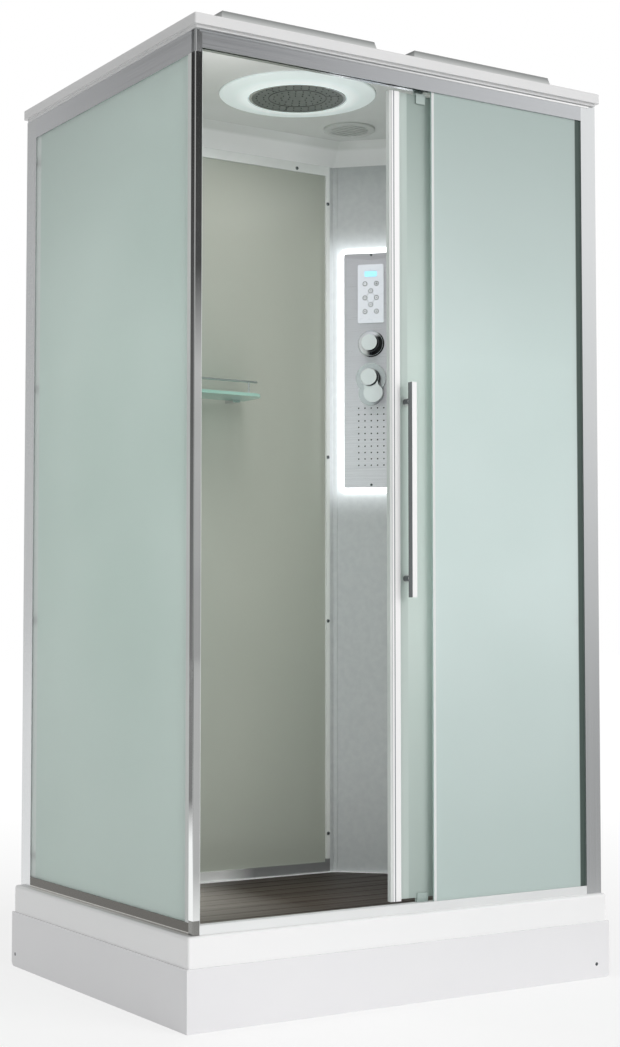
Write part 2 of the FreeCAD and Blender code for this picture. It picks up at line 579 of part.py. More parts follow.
def make_headers():
    """Front header with the fixed glass slot and the roller ledge; side header over the side glass."""
    front = piece("front_header")
    low = "header_low"
    wall = "frame_wall"
    slot_front = "(glass_y - glass_thickness - glass_play)"
    slot_back = "(glass_y + glass_play)"
    web = f"({slot_back} + {wall})"
    ledge = f"({web} + ledge_width)"
    back = "front_back_face"
    bead_y = "(wheel_y + wheel_width / 2)"
    section = [("-cabin_front", low), (slot_front, low), (slot_front, f"{low} + slot_depth + 2"),
               (slot_back, f"{low} + slot_depth + 2"), (slot_back, low), (ledge, low),
               (ledge, f"{low} + {wall}"),
               (f"{bead_y} + 1", f"{low} + {wall}"), (f"{bead_y} + 1", "rail_top"),
               (f"{bead_y} - 1", "rail_top"),
               (f"{bead_y} - 1", f"{low} + {wall}"), (web, f"{low} + {wall}"), (web, f"frame_top - {wall}"),
               (f"{back} - {wall}", f"frame_top - {wall}"), (f"{back} - {wall}", f"{low} + 6"),
               (back, f"{low} + 6"),
               (back, "frame_top"), ("-cabin_front", "frame_top")]
    pad(front, "x", section, "corner_x", "post_inner")
    pocket(front, "x", rectangle(f"-cabin_front + {wall}", f"{low} + slot_depth + 2 + {wall}", slot_back,
                                 f"frame_top - {wall}"),
           "corner_x", "post_inner")

    side = piece("side_header")
    low = "side_header_low"
    slot_out = "(glass_x - glass_play)"
    slot_in = "(glass_x + glass_thickness + glass_play)"
    section = [("-cabin_left", low), (slot_out, low), (slot_out, f"{low} + slot_depth + 2"),
               (slot_in, f"{low} + slot_depth + 2"),
               (slot_in, low), ("side_inner", low), ("side_inner", "frame_top"), ("-cabin_left", "frame_top")]
    pad(side, "y", section, "corner_y", "rear_post_y")
    pocket(side, "z", rectangle("corner_x", "corner_y - 1", "side_inner + 1", "front_back_face"),
           f"{low} - 1", "frame_top + 1")
    pocket(side, "y", rectangle(f"-cabin_left + {wall}", f"{low} + slot_depth + 2 + {wall}",
                                f"side_inner - {wall}",
                                f"frame_top - {wall}"), "corner_y", "rear_post_y")


def make_sills():
    """Threshold with the door's guide rail, and the sill under the side glass."""
    front = piece("front_sill")
    base = "rim_top"
    slot_front = "(glass_y - glass_thickness - glass_play)"
    slot_back = "(glass_y + glass_play)"
    web = "(glass_y + glass_play + frame_wall)"
    top = f"({base} + front_sill_height)"
    tread = f"({top} - sill_step)"
    rail_low = "(door_mid - rail_width / 2)"
    rail_high = "(door_mid + rail_width / 2)"
    section = [("-cabin_front", base), ("front_back_face", base), ("front_back_face", f"{tread} + 3"),
               ("front_back_face - frame_wall", f"{tread} + 3"), ("front_back_face - frame_wall", tread),
               (rail_high, tread), (rail_high, f"{tread} + rail_height"),
               (rail_low, f"{tread} + rail_height"),
               (rail_low, tread), (web, tread), (web, top), (slot_back, top),
               (slot_back, f"{top} - slot_depth"),
               (slot_front, f"{top} - slot_depth"), (slot_front, top), ("-cabin_front", top)]
    pad(front, "x", section, "corner_x", "post_inner")

    side = piece("side_sill")
    top = f"({base} + side_sill_height)"
    slot_out = "(glass_x - glass_play)"
    slot_in = "(glass_x + glass_thickness + glass_play)"
    section = [("-cabin_left", base), ("side_inner", base),
               ("side_inner", f"{base} + side_sill_height * 0.7"),
               (f"{slot_in} + frame_wall", top), (slot_in, top), (slot_in, f"{top} - slot_depth"),
               (slot_out, f"{top} - slot_depth"), (slot_out, top), ("-cabin_left", top)]
    pad(side, "y", section, "corner_y", "rear_post_y")
    pocket(side, "z", rectangle("corner_x", "corner_y - 1", "side_inner + 1", "front_back_face"),
           f"{base} - 1", f"{top} + 1")


def make_corner_brackets():
    """Cast blocks that join the headers and the sills at the near corner."""
    blocks = []
    for name, low, high in (("lower", "rim_top", "rim_top + bracket_height"),
                            ("upper", "side_header_low", "frame_top")):
        block = loose(f"corner_block_{name}")
        pad(block, "z", rectangle("-cabin_left", "-cabin_front", "corner_x", "corner_y"), low, high)
        soften(block, "3", lambda edge: is_along(edge, "z") and near(edge.CenterOfMass.x, "-cabin_left")
               and near(edge.CenterOfMass.y, "-cabin_front"))
        blocks.append(block)
    pocket(blocks[1], "x", rectangle("-cabin_front + 5", "frame_top - 14", "-cabin_front + 12",
                                     "frame_top - 8"),
           "-cabin_left - 1", "-cabin_left + 4")
    group("corner_brackets", blocks)


def pane(name, x, y, z):
    """A flat pane between two values on each axis."""
    body = piece(name)
    pad(body, "z", rectangle(x[0], y[0], x[1], y[1]), z[0], z[1])
    return body


def make_glass():
    """Fixed front pane, side pane, its edge channel and the clips that hold both panes back."""
    seat = "(slot_depth - 2)"
    glass_low = f"(rim_top + front_sill_height - {seat})"
    pane("fixed_glass", ("fixed_edge_x", f"post_inner + {seat}"), ("glass_y - glass_thickness", "glass_y"),
         (glass_low, f"header_low + {seat}"))
    pane("side_glass", ("glass_x", "glass_x + glass_thickness"),
         ("corner_y + channel_width - slot_depth", f"rear_post_y + {seat}"),
         (f"rim_top + side_sill_height - {seat}", f"side_header_low + {seat}"))
    channel = loose("side_glass_channel")
    web = "(glass_x + glass_thickness + glass_play)"
    seat_y = "(corner_y + channel_width - slot_depth - 1)"
    pad(channel, "z", [("-cabin_left", "corner_y"), (web, "corner_y"), (web, seat_y),
                       ("glass_x - glass_play", seat_y),
                       ("glass_x - glass_play", "corner_y + channel_width"),
                       ("-cabin_left", "corner_y + channel_width")],
        "rim_top + side_sill_height", "side_header_low")
    strike = loose("strike_strip")
    pad(strike, "z", rectangle("corner_x", "door_mid - stile_depth / 2 + 1",
                               "corner_x + strike_width - strike_gap",
                               "door_mid + stile_depth / 2 - 1"), "rim_top + front_sill_height", "header_low")
    group("glazing_seals", [channel, strike])
    clips = []
    for k, z in enumerate(("clip_rise_low", "clip_rise_mid", "clip_rise_high", "clip_rise_top")):
        inner_side = "(glass_x + glass_thickness)"
        clip = loose(f"side_clip_{k}")
        pad(clip, "z", rectangle(inner_side, "rear_post_y - clip_reach", f"{inner_side} + clip_thickness",
                                 "rear_post_y"),
            f"{z} - clip_height / 2", f"{z} + clip_height / 2")
        clips.append(clip)
        clip = loose(f"front_clip_{k}")
        pad(clip, "z", rectangle("post_inner - clip_reach", "glass_y", "post_inner",
                                 "glass_y + clip_thickness / 2"),
            f"{z} - clip_height / 2", f"{z} + clip_height / 2")
        clips.append(clip)
    group("glass_clips", clips)


# ---------------------------------------------------------------- walls and column

def wall_frame(name, along, face, start, end, low, high, right_side):
    """Two rails and two stiles with a glass slot; 'along' is the wall's own direction."""
    half = "((wall_depth - glass_thickness) / 2 - glass_play)"
    front_slot = f"({face} + {half})"
    back_slot = f"({face} + wall_depth - {half})"
    back = f"({face} + wall_depth)"
    lip = "(slot_depth)"
    members = []
    rail = [(face, low), (back, low), (back, f"{low} + wall_rail"), (back_slot, f"{low} + wall_rail"),
            (back_slot, f"{low} + wall_rail - {lip}"), (front_slot, f"{low} + wall_rail - {lip}"),
            (front_slot, f"{low} + wall_rail"), (face, f"{low} + wall_rail")]
    top_rail = [(face, high), (back, high), (back, f"{high} - wall_rail"), (back_slot, f"{high} - wall_rail"),
                (back_slot, f"{high} - wall_rail + {lip}"), (front_slot, f"{high} - wall_rail + {lip}"),
                (front_slot, f"{high} - wall_rail"), (face, f"{high} - wall_rail")]
    for part, outline in (("low", rail), ("top", top_rail)):
        body = loose(f"{name}_{part}")
        pad(body, along, outline, f"{start} + wall_stile", f"{end} - wall_stile")
        members.append(body)
    for part, outer, inner in (("start", start, f"{start} + wall_stile"),
                               ("end", end, f"{end} - wall_stile")):
        slot = f"({inner} - {lip})" if part == "start" else f"({inner} + {lip})"
        points = [(outer, face), (inner, face), (inner, front_slot), (slot, front_slot), (slot, back_slot),
                  (inner, back_slot), (inner, back), (outer, back)]
        if right_side:
            points = [(across, up) for up, across in points]
        body = loose(f"{name}_{part}")
        pad(body, "z", points, low, high)
        members.append(body)
    return group(name, members)


def make_walls():
    """Back and right walls: chrome frames with tinted panes, standing on the ledge."""
    low = "ledge_top"
    seat = "(slot_depth - 2)"
    half = "((wall_depth - glass_thickness) / 2)"
    start = "basin_left"
    end = "(wall_face_x - column_leg - edge_show)"
    wall_frame("back_frame", "x", "wall_face_y", start, end, low, "frame_top", False)
    pane("back_glass", (f"{start} + wall_stile - {seat}", f"{end} - wall_stile + {seat}"),
         (f"wall_face_y + {half}", f"wall_face_y + {half} + glass_thickness"),
         (f"{low} + wall_rail - {seat}", f"frame_top - wall_rail + {seat}"))
    # the right wall starts on the ledge, behind the high rim of the front
    start = "basin_front"
    end = "(wall_face_y - column_leg - edge_show)"
    wall_frame("right_frame", "y", "wall_face_x", start, end, low, "frame_top", True)
    pane("right_glass", (f"wall_face_x + {half}", f"wall_face_x + {half} + glass_thickness"),
         (f"{start} + wall_stile - {seat}", f"{end} - wall_stile + {seat}"),
         (f"{low} + wall_rail - {seat}", f"frame_top - wall_rail + {seat}"))


def edge_outline():
    """Corner extrusion at the back wall: covers the stile and grips the slanted panel's edge."""
    x = "(wall_face_x - column_leg)"
    y = "(wall_face_y)"
    run = "(panel_slot / sqrt(2))"
    lip = "(edge_lip / sqrt(2))"
    sheet_step = "((panel_thickness + 2 * panel_play) / sqrt(2))"
    floor_x = f"({x} + {lip} + panel_play)"
    floor_y = f"({y} + {lip} - panel_play)"
    return [(f"{x} - edge_show", y), (x, y), (f"{x} + {run}", f"{y} - {run}"),
            (f"{x} + {run} + {lip}", f"{y} - {run} + {lip}"), (floor_x, floor_y),
            (f"{floor_x} + {sheet_step}", f"{floor_y} + {sheet_step}"),
            (f"{x} + {run} + {lip} + {sheet_step}", f"{y} - {run} + {lip} + {sheet_step}"),
            (f"{x} + {run} + 2 * {lip} + {sheet_step}", f"{y} - {run} + 2 * {lip} + {sheet_step}"),
            (f"{x} - edge_show + 3", f"{y} + wall_depth"), (f"{x} - edge_show", f"{y} + wall_depth")]


def make_column():
    """White panel across the rear right corner between two corner extrusions."""
    panel = loose("column_sheet")
    half = "(column_half - panel_play)"
    pad(panel, "z", rectangle(f"-{half}", "0", half, "panel_thickness"), "ledge_top", "frame_top")
    for z in ("diverter_z", "mixer_z"):
        pocket(panel, "y", [], "-1", "panel_thickness + 1", circles=[("0", z, "valve_hole")])
    pocket(panel, "y", [], "-1", "panel_thickness + 1",
           circles=[("0", "jet_low - jet_pitch", "steam_pipe"), ("steam_x", "steam_z", "steam_bore")])
    on_column(panel)
    left = loose("column_edge_left")
    pad(left, "z", edge_outline(), "ledge_top", "frame_top")
    right = loose("column_edge_right")
    shift = "(wall_face_x - wall_face_y)"
    mirrored = [(f"({up}) + {shift}", f"({across}) - {shift}") for across, up in edge_outline()]
    pad(right, "z", mirrored, "ledge_top", "frame_top")
    group("column_panel", [panel, left, right])


def make_light_guide():
    body = piece("light_guide")
    pad(body, "y", rectangle("-light_half", "guide_low", "light_half", "guide_high"), "-light_depth", "0")
    soften(body, "light_round", lambda edge: is_along(edge, "y"))
    pocket(body, "y", [], "-light_depth - 1", "1",
           circles=[("0", "diverter_z", "valve_hole"), ("0", "mixer_z", "valve_hole"),
                    ("0", "jet_low - jet_pitch", "steam_pipe")])
    on_column(body)


def make_faceplate():
    """Folded steel plate: open behind, with the jet holes and a bevel with a shallow V at the top."""
    body = piece("faceplate")
    front = "(-plate_front)"
    pad(body, "y", rectangle("-plate_half", "plate_low", "plate_half", "plate_high"), front, "-light_depth")
    soften(body, "plate_round", lambda edge: is_along(edge, "y"))
    crease = []
    for x, drop in (("-plate_half - 1", "vee_side"), ("0", "vee_drop"), ("plate_half + 1", "vee_side")):
        low = f"(plate_high - {drop})"
        back = f"({front} + vee_back * {drop} / vee_drop)"
        crease.append(("x", x, [(f"{front} - 1", low), (front, low), (back, "plate_high"),
                                (back, "plate_high + 1"), (f"{front} - 1", "plate_high + 1")]))
    loft(body, crease, cut=True)
    inner = "(plate_half - plate_skin)"
    pocket(body, "y", rectangle(f"-{inner}", "plate_low + plate_skin", inner,
                                "plate_high - vee_drop - plate_skin"),
           f"{front} + plate_skin", "-light_depth + 1")
    pocket(body, "y", [], f"{front} - 1", f"{front} + plate_skin + 1",
           circles=[("0", "diverter_z", "valve_hole"), ("0", "mixer_z", "valve_hole")])
    hole = pocket(body, "y", [], f"{front} - 1", f"{front} + plate_skin + 1",
                  circles=[("-jet_pitch * (jet_columns - 1) / 2", "jet_low", "jet_radius")])
    grid = body.newObject("PartDesign::LinearPattern", "JetHoles")
    grid.Originals = [hole]
    grid.Direction = (hole.Profile[0], ["H_Axis"])
    grid.setExpression("Length", formula("jet_pitch * (jet_columns - 1)"))
    grid.setExpression("Occurrences", formula("jet_columns"))
    grid.Direction2 = (hole.Profile[0], ["V_Axis"])
    grid.setExpression("Length2", formula("jet_pitch * (jet_rows - 1)"))
    grid.setExpression("Occurrences2", formula("jet_rows"))
    body.Tip = grid
    on_column(body)


KEYS = {
    "key_power": ("-key_spread", "key_row_top"), "key_light": ("key_spread", "key_row_top"),
    "key_up": ("0", "key_row_up"), "key_down": ("0", "key_row_down"),
    "key_left": ("-key_spread", "key_row_mid"), "key_right": ("key_spread", "key_row_mid"),
    "key_fan": ("-key_spread", "key_row_low"), "key_steam": ("key_spread", "key_row_low"),
}


def make_keypad():
    """Keypad case with a sunken display window and eight round keys that press in."""
    case = piece("keypad_case")
    pad(case, "y", rectangle("-pad_half", "pad_low", "pad_half", "pad_high"), "-pad_front", "-plate_front")
    soften(case, "pad_round", lambda edge: is_along(edge, "y"))
    soften(case, "1", lambda edge: near(edge.BoundBox.YMax, "-pad_front") and near(edge.BoundBox.YMin,
                                                                                   "-pad_front"))
    pocket(case, "y", rectangle("-display_half", "display_low", "display_half", "display_high"),
           "-pad_front - 1", "-pad_front + display_recess")
    pocket(case, "y", [], "-pad_front - 1", "-plate_front + 1",
           circles=[(x, z, "key_radius + key_play") for x, z in KEYS.values()])
    on_column(case)
    for name, (x, z) in KEYS.items():
        key = piece(name)
        out = "(pad_front + key_proud)"
        pad(key, "y", [], f"-{out}", f"-{out} + key_height", circles=[("0", "0", "key_radius")])
        soften(key, "0.6", lambda edge: near(edge.BoundBox.YMax, f"-{out}") and near(edge.BoundBox.YMin,
                                                                                     f"-{out}"),
               "PartDesign::Chamfer")
        on_column(key, x, "0", z)


def outward(body, outline, cut=False):
    """Revolve an outline of (radius, distance from the panel) about the body's own Y axis."""
    kind = "PartDesign::Groove" if cut else "PartDesign::Revolution"
    form = body.newObject(kind, "Turned")
    flat = sketch(body, "XY_Plane", [(radius, f"-({away})") for radius, away in outline])
    form.Profile = flat
    form.ReferenceAxis = (flat, ["V_Axis"])
    form.Angle = 360
    body.Tip = form
    return form


def ball(body, radius, away, cut=False):
    """Add or cut a ball on the outward axis, at a distance from the panel."""
    kind = "PartDesign::SubtractiveSphere" if cut else "PartDesign::AdditiveSphere"
    form = body.newObject(kind, "Ball")
    form.setExpression("Radius", formula(radius))
    place(form, "0", f"-({away})", "0")
    body.Tip = form
    return form


def make_valves():
    """Collars, diverter knob, mixer dome and lever, and the brass block behind the panel."""
    base = "plate_front"
    upper = loose("diverter_collar")
    outward(upper, [("spindle_radius + 1", base), ("collar_radius", base),
                    ("collar_radius", f"{base} + collar_depth / 3"),
                    ("collar_radius - 3", f"{base} + collar_depth"),
                    ("spindle_radius + 1", f"{base} + collar_depth")])
    on_column(upper, "0", "0", "diverter_z")
    lower = loose("mixer_collar_plate")
    pad(lower, "y", [], f"-{base} - collar_depth", f"-{base}", circles=[("0", "mixer_z", "mixer_collar")])
    pad(lower, "y", [], f"-{base} - collar_depth * 0.75", f"-{base}",
        circles=[("0", "mixer_z - lobe_drop", "lobe_radius")])
    pocket(lower, "y", [], f"-{base} - collar_depth - 1", f"-{base} + 1",
           circles=[("0", "mixer_z", "spindle_radius + 1")])
    on_column(lower)
    group("valve_collars", [upper, lower])

    knob = piece("diverter_knob")
    start = f"({base} + collar_depth + knob_gap)"
    end = f"({start} + knob_height)"
    bore_end = f"({start} + knob_height * 0.6)"
    outward(knob, [("spindle_radius + spindle_play", start), ("knob_base", start),
                   ("knob_base", f"{start} + 3"),
                   ("knob_face + 2", f"{start} + knob_height * 0.45"),
                   ("knob_face", f"{start} + knob_height * 0.7"),
                   ("knob_face", f"{end} - knob_round"), ("knob_face - knob_round", end), ("0", end),
                   ("0", bore_end),
                   ("spindle_radius + spindle_play", bore_end)])
    on_column(knob, "0", "0", "diverter_z")

    dome = piece("mixer_dome")
    dome_base = f"({base} + collar_depth + knob_gap)"
    ball(dome, "dome_radius", "dome_centre")
    pocket(dome, "y", rectangle("-dome_radius - 1", "-dome_radius - 1", "dome_radius + 1", "dome_radius + 1"),
           f"-{dome_base}", "dome_radius")
    pocket(dome, "y", [], "-(dome_centre + dome_radius * 0.6)", "0",
           circles=[("0", "0", "spindle_radius + spindle_play")])
    on_column(dome, "0", "0", "mixer_z")

    handle = piece("mixer_handle")
    swing = number("lever_swing_degrees")
    outward(handle, [("0", "cap_back"), ("cap_radius", "cap_back"), ("cap_radius", "cap_face - 4"),
                     ("knob_face", "cap_face - knob_round / 2"), ("knob_face - knob_round", "cap_face"),
                     ("0", "cap_face")])
    tip_x = "(lever_drop * sin(lever_swing_degrees))"
    tip_z = "(-lever_drop * cos(lever_swing_degrees))"
    across_x = "(lever_neck * cos(lever_swing_degrees))"
    across_z = "(lever_neck * sin(lever_swing_degrees))"
    neck = [(f"-{across_x}", f"-{across_z}"), (across_x, across_z),
            (f"{tip_x} + {across_x}", f"{tip_z} + {across_z}"),
            (f"{tip_x} - {across_x}", f"{tip_z} - {across_z}")]
    pad(handle, "y", neck, "-lever_face", "-lever_back")
    pad(handle, "y", [], "-lever_face", "-lever_back", circles=[(tip_x, tip_z, "lever_radius")])
    ball(handle, "dome_radius + cap_play", "dome_centre", cut=True)
    on_column(handle, "0", "0", "mixer_z")

    members = []
    block = loose("valve_body")
    back = "valve_back"
    near_face = "(panel_thickness + 2)"
    pad(block, "y", rectangle("-valve_half", "valve_low", "valve_half", "valve_high"), f"{near_face} + 14",
        back)
    for z in ("diverter_z", "mixer_z"):
        pad(block, "y", [], "-2", f"{near_face} + 14", circles=[("0", z, "valve_hole - 1")])
    pad(block, "y", [], f"-({base} + collar_depth + knob_gap + knob_height * 0.5)", "-2",
        circles=[("0", "diverter_z", "spindle_radius")])
    pad(block, "y", [], "-(dome_centre + dome_radius * 0.55)", "-2",
        circles=[("0", "mixer_z", "spindle_radius")])
    pad(block, "z", [], "jet_low", "valve_low", circles=[("0", "feed_back", "feed_pipe")])
    reach = "(valve_half + feed_spread)"
    for side in ("-", ""):
        low_x = f"-{reach}" if side else "valve_half"
        high_x = "-valve_half" if side else reach
        tail = f"{side}({reach} - feed_pipe)"
        pad(block, "x", [], low_x, high_x, circles=[("feed_back", "mixer_z", "feed_pipe")])
        pad(block, "z", [], "feed_low - feed_pipe", "mixer_z", circles=[(tail, "feed_back", "feed_pipe")])
        mouth = "(feed_back + feed_reach)"
        pad(block, "y", [], "feed_back", f"{mouth} - feed_thread",
            circles=[(tail, "feed_low", "feed_pipe - 0.5")])
        pad(block, "y", [], f"{mouth} - feed_thread", mouth, circles=[(tail, "feed_low", "feed_radius")])
    soften(block, "4", lambda edge: is_along(edge, "z") and near(edge.CenterOfMass.y, back))
    members.append(on_column(block))
    jets = loose("jet_box")
    low = "(jet_low - jet_pitch * 2)"
    high = "(jet_low + jet_pitch * (jet_rows - 1) + jet_box_margin)"
    pad(jets, "y", rectangle("-jet_box_half", low, "jet_box_half", high), "-light_depth - jet_box_depth",
        "-light_depth")
    pad(jets, "y", [], "-light_depth", "feed_back",
        circles=[("0", "jet_low - jet_pitch", "steam_pipe - 0.5")])
    pad(jets, "z", [], "jet_low - jet_pitch", "jet_low", circles=[("0", "feed_back", "steam_pipe - 0.5")])
    members.append(on_column(jets))
    group("valve_block", members)


def make_steam():
    """Boiler hung behind the panel, and the chrome outlet near the floor that it feeds."""
    boiler = piece("steam_generator")
    near_face = "panel_thickness"
    pad(boiler, "z", rectangle("-boiler_half", near_face, "boiler_half", f"{near_face} + boiler_depth"),
        "boiler_low", "boiler_high")
    soften(boiler, "boiler_round", lambda edge: is_along(edge, "z") and near(edge.CenterOfMass.y,
                                                                             f"{near_face} + boiler_depth"))
    pad(boiler, "z", [], "boiler_high", "boiler_high + 12",
        circles=[("0", f"{near_face} + boiler_depth / 2", "foot_pad_radius")])
    on_column(boiler)
    outlet = piece("steam_outlet")
    outward(outlet, [("0", "-(panel_thickness + 20)"), ("steam_pipe", "-(panel_thickness + 20)"),
                     ("steam_pipe", "0"),
                     ("steam_radius", "0"), ("steam_radius", "3"), ("steam_radius - 8", "steam_depth - 3"),
                     ("steam_radius - 11", "steam_depth"), ("0", "steam_depth")])
    pocket(outlet, "z", rectangle("-steam_radius / 2", "-steam_depth - 1", "steam_radius / 2",
                                  "-steam_depth / 2"),
           "-2.5", "2.5")
    pad(outlet, "z", [], "0", "boiler_low - steam_z", circles=[("0", "panel_thickness + 20", "steam_pipe")])
    on_column(outlet, "steam_x", "0", "steam_z")


# ---------------------------------------------------------------- roof

def room_outline(inset):
    """The room's plan at the wall faces, with the column's corner cut, drawn in by an inset."""
    left = f"(side_inner + ceiling_edge + {inset})"
    front = f"(front_back_face + ceiling_edge + {inset})"
    right = f"(wall_face_x - ceiling_edge - {inset})"
    back = f"(wall_face_y - ceiling_edge - {inset})"
    leg = f"(column_leg - (ceiling_edge + {inset}) * (2 - sqrt(2)))"
    return [(left, front), (right, front), (right, f"{back} - {leg}"), (f"{right} - {leg}", back),
            (left, back)]


def roof_rectangle(inset):
    return rectangle(f"-cabin_left - lip_side + {inset}", f"-cabin_front - lip_front + {inset}",
                     f"cabin_right + lip_right - {inset}", f"cabin_back + lip_back - {inset}")


def make_roof():
    """Moulded roof: lip, raised dome with four plateaus, coved ceiling with lamp and fan openings."""
    body = piece("roof")
    pad(body, "z", roof_rectangle("bead_inset"), "frame_top", "lip_low")
    pad(body, "z", roof_rectangle("0"), "lip_low", "lip_top")
    soften(body, "4", lambda edge: is_along(edge, "z") and edge.BoundBox.ZMax > number("lip_low") + 1)
    soften(body, "3", lambda edge: near(edge.BoundBox.ZMin, "lip_top"))
    loft(body, [("z", "lip_top", roof_rectangle("dome_inset")),
                ("z", "dome_top", roof_rectangle("dome_inset + dome_slope"))])
    rib_top = "(dome_top + rib_height)"
    front_y = "(-cabin_front - lip_front + rib_front + 10)"
    back_y = "(cabin_back + lip_back - rib_front - 10)"
    for low_x, high_x in (("-rib_near - rib_length", "-rib_near"), ("rib_near", "rib_near + rib_length")):
        near_y = [(low_x, front_y, high_x, f"{front_y} + rib_depth")]
        far_x = high_x if low_x.startswith("-") else "rib_near + rib_length - 45"
        near_y.append((low_x, f"{back_y} - rib_back_depth", far_x, back_y))
        for x0, y0, x1, y1 in near_y:
            slope = "rib_slope"
            loft(body, [("z", "lip_top", rectangle(x0, y0, x1, y1)),
                        ("z", rib_top, rectangle(f"{x0} + {slope}", f"{y0} + {slope}", f"{x1} - {slope}",
                                                 f"{y1} - {slope}"))])
    loft(body, [("z", "frame_top", room_outline("0")), ("z", "ceiling", room_outline("ceiling_inset"))],
         cut=True)
    pocket(body, "z", [], "frame_top + 1", "dome_top + 1",
           circles=[("lamp_x", "lamp_y", "lamp_radius + lamp_play"),
                    ("fan_x", "fan_y", "fan_bore + fan_neck + lamp_play")])
    hole_x = "(wall_face_x - column_leg / 2 + (edge_lip + pipe_back) / sqrt(2))"
    hole_y = "(wall_face_y - column_leg / 2 + (edge_lip + pipe_back) / sqrt(2))"
    pocket(body, "z", [], "frame_top - 1", "dome_top + rib_height + 1",
           circles=[(hole_x, hole_y, "pipe_radius + pipe_hole_play")])


def make_lamp():
    """Lamp pan on the roof and the sloping light ring that closes it below."""
    pan = piece("lamp_pan")
    top = "(dome_top + lamp_depth)"
    turn(pan, [("pipe_radius + 0.5", f"{top} - lamp_wall"), ("lamp_radius - lamp_wall", f"{top} - lamp_wall"),
               ("lamp_radius - lamp_wall", "ceiling"), ("lamp_radius", "ceiling"),
               ("lamp_radius", "dome_top"),
               ("lamp_radius + lamp_flange", "dome_top"),
               ("lamp_radius + lamp_flange", "dome_top + lamp_wall"),
               ("lamp_radius + lamp_wall", "dome_top + lamp_wall"), ("lamp_radius", top),
               ("pipe_radius + 0.5", top)])
    place(pan, "lamp_x", "lamp_y")
    ring = piece("lamp_diffuser")
    inner = "(head_radius + head_play)"
    turn(ring, [(inner, "ceiling - diffuser_drop - diffuser_wall"),
                ("lamp_radius - 2", "ceiling - diffuser_wall"),
                ("lamp_radius", "ceiling - diffuser_wall + 2"), ("lamp_radius", "ceiling"),
                ("lamp_radius - lamp_wall - 2", "ceiling"), (inner, "ceiling - diffuser_drop")])
    place(ring, "lamp_x", "lamp_y")


def make_rain_head():
    """Round rain head: chrome body with a rim, and a dark nozzle plate set in it."""
    head = piece("rain_head")
    low = "(ceiling - head_drop)"
    top = "(dome_top + lamp_depth - lamp_wall)"
    turn(head, [("0", f"{low} + face_wall + face_recess"),
                ("head_radius - head_rim", f"{low} + face_wall + face_recess"),
                ("head_radius - head_rim", low), ("head_radius - 3", low), ("head_radius", f"{low} + 3"),
                ("head_radius", f"{low} + head_body * 0.6"), ("head_radius * 0.5", f"{low} + head_body"),
                ("head_boss", f"{low} + head_body"), ("head_boss", top), ("0", top)])
    place(head, "lamp_x", "lamp_y")
    face = piece("rain_face")
    outer = "(head_radius - head_rim - 0.4)"
    turn(face, [("0", f"{low} + face_recess"), (f"{outer} * 0.62", f"{low} + face_recess"),
                (f"{outer} * 0.63", f"{low} + face_recess + 1"), (f"{outer} * 0.64", f"{low} + face_recess"),
                (outer, f"{low} + face_recess"), (outer, f"{low} + face_recess + face_wall"),
                ("0", f"{low} + face_recess + face_wall")])
    place(face, "lamp_x", "lamp_y")


def make_fan():
    """Extractor fan: round louvred cover in the ceiling, square case on the roof, bladed rotor."""
    cover = loose("fan_cover")
    low = "(ceiling - 5)"
    neck_out = "(fan_bore + fan_neck)"
    turn(cover, [("0", low), ("fan_cover_radius - 3", low), ("fan_cover_radius", f"{low} + 2"),
                 ("fan_cover_radius", "ceiling"),
                 (neck_out, "ceiling"), (neck_out, "dome_top"), ("fan_bore", "dome_top"),
                 ("fan_bore", f"{low} + 3"),
                 ("0", f"{low} + 3")])
    for k in range(7):
        y = f"({k - 3} * fan_bore * 0.26)"
        width = f"(sqrt((fan_bore - 6) ^ 2 - {y} ^ 2))"
        pocket(cover, "z", rectangle(f"-{width}", f"{y} - 3", width, f"{y} + 3"), f"{low} - 1", f"{low} + 4")
    place(cover, "fan_x", "fan_y")
    case = loose("fan_box")
    base = "dome_top"
    top = f"({base} + fan_case_height)"
    half = "fan_case / 2"
    pad(case, "z", rectangle(f"-{half}", f"-{half}", half, half), base, top)
    soften(case, "8", lambda edge: is_along(edge, "z"))
    pocket(case, "z", [], f"{base} - 1", f"{top} + 1", circles=[("0", "0", "fan_bore")])
    for k in range(2):
        strut = rectangle("-3", "-fan_bore - 1", "3", "fan_bore + 1") if k else rectangle("-fan_bore - 1",
            "-3", "fan_bore + 1", "3")
        pad(case, "z", strut, f"{top} - 3", top)
    pad(case, "z", [], f"{top} - fan_motor", top, circles=[("0", "0", "fan_hub")])
    pad(case, "z", [], f"{base} + 6", f"{top} - fan_motor", circles=[("0", "0", "fan_pin")])
    place(case, "fan_x", "fan_y")
    group("fan_housing", [cover, case])

    rotor = piece("fan_rotor")
    pad(rotor, "z", [], f"{base} + 5", f"{top} - fan_motor - 0.5", circles=[("0", "0", "fan_hub")])
    blade_low = f"({base} + 6)"
    blade_high = f"({top} - fan_motor - 2)"
    tip = "(fan_bore - fan_tip_gap)"
    blade = loft(rotor, [("x", "fan_hub - 3",
                          [("-7", blade_low), ("-5", blade_low), ("7", blade_high), ("5", blade_high)]),
                         ("x", tip, [("-15", blade_low), ("-13.5", blade_low), ("15", blade_high),
                                     ("13.5", blade_high)])])
    ring = rotor.newObject("PartDesign::PolarPattern", "Blades")
    ring.Originals = [blade]
    ring.Axis = (blade.Profile[0], ["V_Axis"])
    ring.Angle = 360
    ring.setExpression("Occurrences", formula("fan_blade_count"))
    rotor.Tip = ring
    pocket(rotor, "z", [], f"{base} + 4", f"{top} - fan_motor", circles=[("0", "0", "fan_pin + axle_play")])
    place(rotor, "fan_x", "fan_y")


